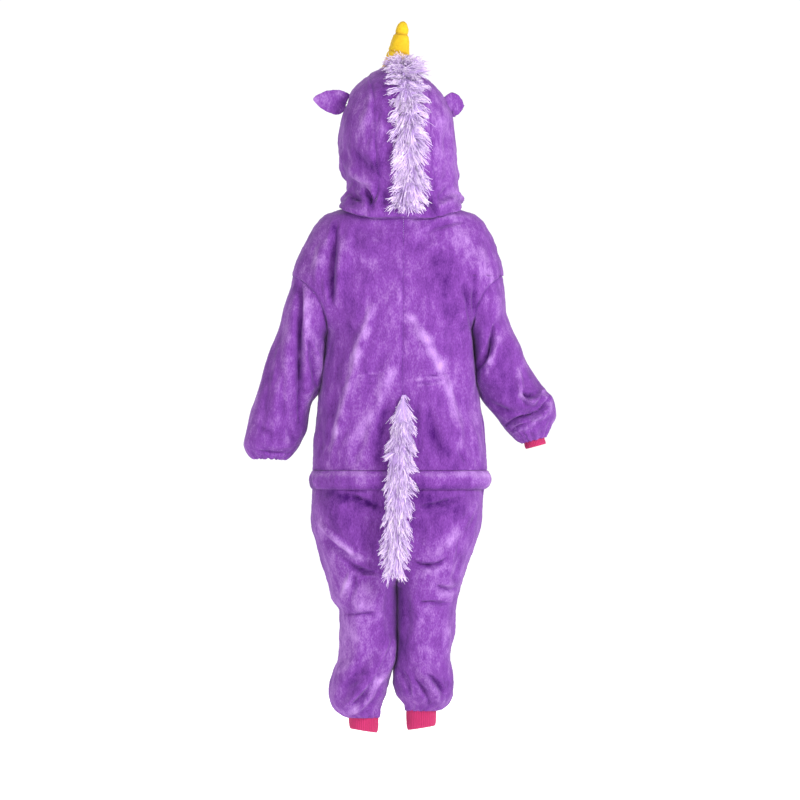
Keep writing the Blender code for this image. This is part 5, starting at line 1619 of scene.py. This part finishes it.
def yarnTree():
    # strands that grow from a combed base: each follows the comb, its tuft and its own stray bend
    tree = bpy.data.node_groups.new("yarnFringe", "GeometryNodeTree")
    sockets = {"Base": "NodeSocketGeometry"}
    for name in ("Density", "Thickness", "Spread", "Clump", "TuftSize", "Droop", "Stray"):
        sockets[name] = "NodeSocketFloat"
    sockets.update(
        Points="NodeSocketInt", Corners="NodeSocketInt", Seed="NodeSocketInt",
        Finish="NodeSocketMaterial",
    )
    for name, kind in sockets.items():
        tree.interface.new_socket(name, in_out="INPUT", socket_type=kind)
    tree.interface.new_socket("Fringe", in_out="OUTPUT", socket_type="NodeSocketGeometry")
    make = Maker(tree)
    given = make.add("NodeGroupInput", {}, {})

    def vector(operation, a, b):
        return make.add("ShaderNodeVectorMath", {"operation": operation}, {0: a, 1: b})

    def scaled(a, factor):
        return make.add("ShaderNodeVectorMath", {"operation": "SCALE"}, {0: a, "Scale": factor})

    def named(name, kind):
        return make.add("GeometryNodeInputNamedAttribute", {"data_type": kind}, {"Name": name})

    def store(geometry, name, kind, value, domain="POINT"):
        return make.add(
            "GeometryNodeStoreNamedAttribute", {"data_type": kind, "domain": domain},
            {"Geometry": geometry, "Name": name, "Value": value},
        )

    points = make.add(
        "GeometryNodeDistributePointsOnFaces", {"distribute_method": "RANDOM"},
        {"Mesh": given.other("Base"), "Density": given.other("Density"), "Seed": given.other("Seed")},
    )
    points = store(points, "root", "FLOAT_VECTOR", make.add("GeometryNodeInputPosition", {}, {}))
    stray = make.add(
        "FunctionNodeRandomValue", {"data_type": "FLOAT_VECTOR"},
        {0: (-1, -1, -1), 1: (1, 1, 1), "Seed": given.other("Seed")},
    )
    points = store(points, "stray", "FLOAT_VECTOR", stray)
    line = make.add("GeometryNodeCurvePrimitiveLine", {}, {"Start": (0, 0, 0), "End": (0, 0, 0.01)})
    line = make.add("GeometryNodeResampleCurve", {}, {"Curve": line, "Count": given.other("Points")})
    grown = make.add("GeometryNodeInstanceOnPoints", {}, {"Points": points, "Instance": line})
    grown = make.add("GeometryNodeRealizeInstances", {}, {"Geometry": grown})
    t = make.add("GeometryNodeSplineParameter", {}, {}).other("Factor")
    root = named("root", "FLOAT_VECTOR")
    strayed = named("stray", "FLOAT_VECTOR")
    tuft = make.add(
        "ShaderNodeTexVoronoi", {},
        {"Vector": root, "Scale": given.other("TuftSize"), "Randomness": 1.0},
    )
    loose = vector("SUBTRACT", tuft.other("Color"), (0.5, 0.5, 0.5))
    way = vector("ADD", named("comb", "FLOAT_VECTOR"), scaled(loose, given.other("Spread")))
    way = vector("NORMALIZE", vector("ADD", way, scaled(strayed, given.other("Stray"))), (0, 0, 0))
    length = (
        named("reach", "FLOAT")
        * (0.75 + make.add("ShaderNodeSeparateXYZ", {}, {0: strayed}).other("X") * 0.25)
    )
    toTuft = vector("SUBTRACT", tuft.other("Position"), root)
    wiggle = make.add(
        "ShaderNodeTexNoise", {},
        {"Vector": vector("ADD", root, scaled(strayed, t * 0.4)), "Scale": 14.0},
    )
    wiggle = vector("SUBTRACT", wiggle.other("Color"), (0.5, 0.5, 0.5))
    away = vector("ADD", scaled(way, length * t), scaled(toTuft, given.other("Clump") * t))
    away = vector("ADD", away, scaled(wiggle, length * t * 0.55))
    # no strand dips into the cloth it is sewn to
    out = named("out", "FLOAT_VECTOR")
    depth = vector("DOT_PRODUCT", away, out).other("Value")
    short = length * t * 0.22 - depth
    away = vector("ADD", away, scaled(out, short.calc("MAXIMUM", short, 0.0)))
    place = vector("ADD", root, away)
    fall = make.add("ShaderNodeCombineXYZ", {}, {"Z": -1.0 * given.other("Droop") * length * t * t})
    place = vector("ADD", place, fall)
    grown = make.add("GeometryNodeSetPosition", {}, {"Geometry": grown, "Position": place})
    radius = given.other("Thickness") * (1 - t**3 * 0.7)
    grown = store(grown, "along", "FLOAT", t)
    grown = store(grown, "tint", "FLOAT", make.add("ShaderNodeSeparateXYZ", {}, {0: strayed}).other("Y"))
    ring = make.add(
        "GeometryNodeCurvePrimitiveCircle", {},
        {"Resolution": given.other("Corners"), "Radius": 1.0},
    )
    tubes = make.add(
        "GeometryNodeCurveToMesh", {},
        {"Curve": grown, "Profile Curve": ring, "Scale": radius, "Fill Caps": True},
    )
    tubes = make.add("GeometryNodeSetShadeSmooth", {}, {"Geometry": tubes})
    solid = make.add("GeometryNodeRealizeInstances", {}, {"Geometry": tubes})
    solid = make.add("GeometryNodeSetMaterial", {}, {"Geometry": solid, "Material": given.other("Finish")})
    make.add("NodeGroupOutput", {}, {"Fringe": solid})
    return tree


def grow(name, base, tree, values):
    # runs a geometry tree on a base and keeps the result as a plain mesh
    modifier = base.modifiers.new("grow", "NODES")
    modifier.node_group = tree
    for item in tree.interface.items_tree:
        if item.in_out == "INPUT" and item.name in values:
            modifier[item.identifier] = values[item.name]
    graph = bpy.context.evaluated_depsgraph_get()
    mesh = bpy.data.meshes.new_from_object(base.evaluated_get(graph))
    base.modifiers.remove(modifier)
    mesh.name = name
    return addObject(name, mesh)


def joined(name, parts):
    # several meshes as one piece
    shape = bmesh.new()
    for part in parts:
        shape.from_mesh(part.data)
        bpy.data.objects.remove(part)
    mesh = bpy.data.meshes.new(name)
    shape.to_mesh(mesh)
    shape.free()
    mesh.materials.append(yarn)
    mesh.shade_smooth()
    return addObject(name, mesh)


def fringed(node, core, look):
    # thick and fine strands on a core, and the core itself, as one piece
    parts = [
        grow(f"{node}_{kind}", core, fringe, {**look[kind], **look["both"], "Finish": yarn})
        for kind in ("thick", "fine")
    ]
    return dress(joined(f"{node}_fringe", parts + [core]), "lilac_fringe", node)


maneLook = {
    "nape": 3, "brow": 20, "half": 14, "first": 0.05, "last": 0.86, "samples": 400,
    "reach": 31, "topReach": 52,
    "thick": {"Density": 64000.0, "Thickness": 0.00105, "Points": 7, "Corners": 4, "Seed": 11},
    "fine": {"Density": 90000.0, "Thickness": 0.0005, "Points": 6, "Corners": 3, "Seed": 12},
    "both": {"Spread": 1.5, "Clump": 0.55, "TuftSize": 75.0, "Droop": 0.35, "Stray": 0.28},
}
tailLook = {
    "rows": 90, "around": 26, "core": 0.42, "reach": 25,
    "thick": {"Density": 42000.0, "Thickness": 0.001, "Points": 7, "Corners": 4, "Seed": 21},
    "fine": {"Density": 44000.0, "Thickness": 0.0005, "Points": 6, "Corners": 3, "Seed": 22},
    "both": {"Spread": 1.1, "Clump": 0.4, "TuftSize": 90.0, "Droop": 0.25, "Stray": 0.25},
}
tailTable = Table(
    "z x y halfWidth halfDepth",
    (-334, 2, -124, 8, 5), (-350, 0, -130, 20, 9), (-385, -1, -136, 32, 13), (-416, -2, -140, 34, 14),
    (-455, -6, -147, 37, 15), (-500, -8, -156, 38, 15), (-560, -11, -155, 37, 15),
    (-613, -14, -149, 34, 15), (-655, -15, -144, 27, 13), (-684, -14, -140, 10, 7),
)

shares = np.linspace(0, 1, maneLook["samples"])
offsets = np.linspace(-20, 40, 61)  # a line every millimetre across the strip
lines = np.stack([stripLine(o, shares) for o in offsets], axis=1)
# the fringe runs a little askew, from left of the middle at the nape to the right at the brow
middle = (
    lerp(maneLook["nape"], maneLook["brow"], shares)[:, None]
    + np.linspace(-1, 1, 13) * maneLook["half"]
)
spot = np.clip(middle - offsets[0], 0, len(offsets) - 1.001)
below, part = spot.astype(int), (spot % 1)[..., None]
every = np.arange(len(shares))[:, None]
lines = lines[every, below] * (1 - part) + lines[every, below + 1] * part
lines = hoodPlaced(lines)
used = slice(int(maneLook["first"] * len(shares)), int(maneLook["last"] * len(shares)), 4)
normals = gridNormals(lines, False, inside)[used]
points = lines[used] + normals * 2.2
down = -unit(np.gradient(points, axis=0))
sideways = unit(np.cross(normals, down))
sideways = sideways * np.sign(sideways[..., :1])
share = np.linspace(0, 1, len(points))[:, None, None]
lean = np.linspace(-1, 1, points.shape[1])[None, :, None]
top = np.clip((share - 0.7) / 0.22, 0, 1)
comb = (
    normals * (0.42 + 1.3 * top)
    + sideways * lean * (1.5 - 0.9 * top)
    + np.array([0, 0, 0.6]) * top
    + down * (0.55 - 0.5 * top)
)
reach = (
    maneLook["reach"] * (0.85 + 0.15 * np.abs(lean)) * np.clip(0.6 + share * 6, 0, 1)
    + (maneLook["topReach"] - maneLook["reach"]) * top
)
reach = np.broadcast_to(reach * mm, points.shape[:2] + (1,))[..., 0]
core = clothShell(
    "mane_tape", points + normals * 0.6, points - normals * 0.6, yarn, False,
    {"comb": unit(comb), "out": normals, "reach": reach},
)
fringe = yarnTree()
mane = fringed("mane", core, maneLook)

heights = np.linspace(-340, -668, tailLook["rows"])
angles = np.arange(tailLook["around"]) * 2 * math.pi / tailLook["around"]
c, s = np.cos(angles)[None, :], np.sin(angles)[None, :]
slim = np.clip((-334 - heights) / 40, 0.15, 1)
wide = np.maximum(tailTable.at("halfWidth", heights) * tailLook["core"] * slim, 2)[:, None]
deep = np.maximum(tailTable.at("halfDepth", heights) * 0.6, 3)[:, None]
x = tailTable.at("x", heights)[:, None] + wide * c
y = tailTable.at("y", heights)[:, None] + deep * s + 2
points = np.stack([x, y, heights[:, None] + 0 * c], axis=-1)
outwards = unit(np.stack([c / wide + 0 * x, s / deep + 0 * x, 0 * x], axis=-1))
towardsBody = np.clip(outwards[..., 1], 0, 1)
comb = outwards * 0.75 * [1, 0.5, 1] * (1 - 0.8 * towardsBody[..., None]) + np.array([0, 0, -1.0])
ends = np.clip((heights + 330) / -24, 0.6, 1)[:, None]
reach = tailLook["reach"] * ends * mm * (1 - 0.55 * towardsBody)
core = clothShell(
    "tail_core", points, points - outwards * 1.5, yarn, True,
    {"comb": unit(comb), "out": outwards, "reach": reach},
)
tail = fringed("tail", core, tailLook)
print("mane and tail made")


# stitches along the seams


def stitchTree():
    tree = bpy.data.node_groups.new("seamStitches", "GeometryNodeTree")
    for name, kind in (
        ("Seams", "NodeSocketGeometry"), ("Spacing", "NodeSocketFloat"), ("Thickness", "NodeSocketFloat"),
        ("Length", "NodeSocketFloat"), ("Finish", "NodeSocketMaterial"),
    ):
        tree.interface.new_socket(name, in_out="INPUT", socket_type=kind)
    tree.interface.new_socket("Stitches", in_out="OUTPUT", socket_type="NodeSocketGeometry")
    make = Maker(tree)
    given = make.add("NodeGroupInput", {}, {})
    curve = make.add("GeometryNodeMeshToCurve", {}, {"Mesh": given.other("Seams")})
    spots = make.add(
        "GeometryNodeCurveToPoints", {"mode": "LENGTH"},
        {"Curve": curve, "Length": given.other("Spacing")},
    )
    ball = make.add("GeometryNodeMeshIcoSphere", {}, {"Radius": 1.0, "Subdivisions": 1})
    size = make.add(
        "ShaderNodeCombineXYZ", {}, {
            "X": given.other("Thickness"), "Y": given.other("Thickness"), "Z": given.other("Length"),
        }
    )
    sewn = make.add(
        "GeometryNodeInstanceOnPoints", {}, {
            "Points": spots, "Instance": ball, "Rotation": spots.other("Rotation"), "Scale": size,
        }
    )
    sewn = make.add("GeometryNodeSetShadeSmooth", {}, {"Geometry": sewn})
    sewn = make.add("GeometryNodeRealizeInstances", {}, {"Geometry": sewn})
    sewn = make.add("GeometryNodeSetMaterial", {}, {"Geometry": sewn, "Material": given.other("Finish")})
    make.add("NodeGroupOutput", {}, {"Stitches": sewn})
    return tree


stitchLook = {"Spacing": 0.0036, "Thickness": 0.00042, "Length": 0.00125}
seamLines = []
for side in sides:
    angles = np.linspace(0, 2 * math.pi, 181)
    ring = armholeRing(side, angles)
    seamLines.append(ring + armRadial(side, ring) * -1.3 + armAxis(side) * 0.1)
    if side == "left":
        seamLines.append(panelRows(side, "back", True, 0, seatTopZ)[:, 0] + np.array([0, 1.3, 0]))
    edge = hoodPlaced(stripEdge(side))
    column = 0 if side == "left" else -1
    seamLines.append(edge - stripNormals[: len(edge), column] * 1.3)
verts, edges = [], []
for line in seamLines:
    start = len(verts)
    verts += (line * mm).tolist()
    edges += [(start + n, start + n + 1) for n in range(len(line) - 1)]
guide = bpy.data.meshes.new("seamGuide")
guide.from_pydata(verts, edges, [])
guideObject = addObject("seamGuide", guide)
stitches = grow("seam_stitches", guideObject, stitchTree(), {**stitchLook, "Finish": thread})
bpy.data.objects.remove(guideObject)
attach(stitches, "root")
print("stitches made")


# print the size every sheet was cut to

going = {"hood_gusset": [mane], "back_left": [stitches, tail], "front_left": buttons}
for name, (width, length, area) in cuts.items():
    held = "stretched" if "cuff" in name else "hung"
    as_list(going.get(name, ()))
    print(f"cut {name}: {width:.3f} x {length:.3f} m, {area:.4f} m2")


# stage, light and camera

stageLook = {"floorZ": -1.047, "colour": (0.93, 0.93, 0.93), "radius": 45, "glow": 0.64}
lightLook = {
    "key": {"place": (2.6, -3.4, 1.6), "power": 190, "size": 1.6},
    "fill": {"place": (-3.2, -3.2, 0.4), "power": 30, "size": 2.6},
    "rim": {"place": (-1.6, 3.6, 1.9), "power": 90, "size": 2.0},
    "aim": (0, 0, -0.35),
    "horizon": 1.05,  # brightness of the room at eye level, and above
    "overhead": 0.4,
}
cameraLook = {"aimX": -0.00557, "aimZ": -0.349, "distance": 16.0, "frameWidth": 1.4856, "planeY": -0.06}

floorPaint = Paint("paleFloor", Roughness=0.9)
floorPaint.shader.inputs["Base Color"].default_value = (*stageLook["colour"], 1)
floorPaint.shader.inputs["Specular IOR Level"].default_value = 0.1
floorPaint.shader.inputs["Emission Color"].default_value = (1, 1, 1, 1)
floorPaint.shader.inputs["Emission Strength"].default_value = stageLook["glow"]
turns = np.linspace(0, 2 * math.pi, 64, endpoint=False)
radius = stageLook["radius"]
rim = [(radius * math.cos(t), radius * math.sin(t), stageLook["floorZ"]) for t in turns]
mesh = bpy.data.meshes.new("floor")
mesh.from_pydata(rim, [], [list(range(len(rim)))])
mesh.materials.append(floorPaint.material)
addObject("floor", mesh)

scene = bpy.context.scene
scene.view_settings.view_transform = "Standard"
world = bpy.data.worlds.new("softRoom")
world.use_nodes = True
room = Maker(world.node_tree)
background = world.node_tree.nodes["Background"]
background.inputs["Color"].default_value = (1, 1, 1, 1)
direction = room.add("ShaderNodeTexCoord", {}, {}, "Generated")
height = room.add("ShaderNodeSeparateXYZ", {}, {0: direction}, "Z")
level = room.add(
    "ShaderNodeMapRange", {},
    {
        0: height, "From Min": 0.2, "From Max": 0.45,
        "To Min": lightLook["horizon"], "To Max": lightLook["overhead"],
    },
)
room.feed(background.inputs["Strength"], level)
scene.world = world
for kind in ("key", "fill", "rim"):
    look = lightLook[kind]
    lamp = bpy.data.lights.new(f"{kind}Light", "AREA")
    lamp.energy = look["power"]
    lamp.size = look["size"]
    holder = addObject(f"{kind}Light", lamp)
    holder.location = look["place"]
    aim = np.array(lightLook["aim"]) - np.array(look["place"])
    flat = math.hypot(aim[0], aim[1])
    holder.rotation_euler = (math.atan2(flat, -aim[2]), 0, math.atan2(-aim[0], aim[1]))

camera = bpy.data.cameras.new("camera")
camera.lens = (
    camera.sensor_width
    * (cameraLook["distance"] + cameraLook["planeY"])
    / cameraLook["frameWidth"]
)
viewer = addObject("camera", camera)
viewer.location = (cameraLook["aimX"], -cameraLook["distance"], cameraLook["aimZ"])
viewer.rotation_euler = (math.pi / 2, 0, 0)
scene.camera = viewer
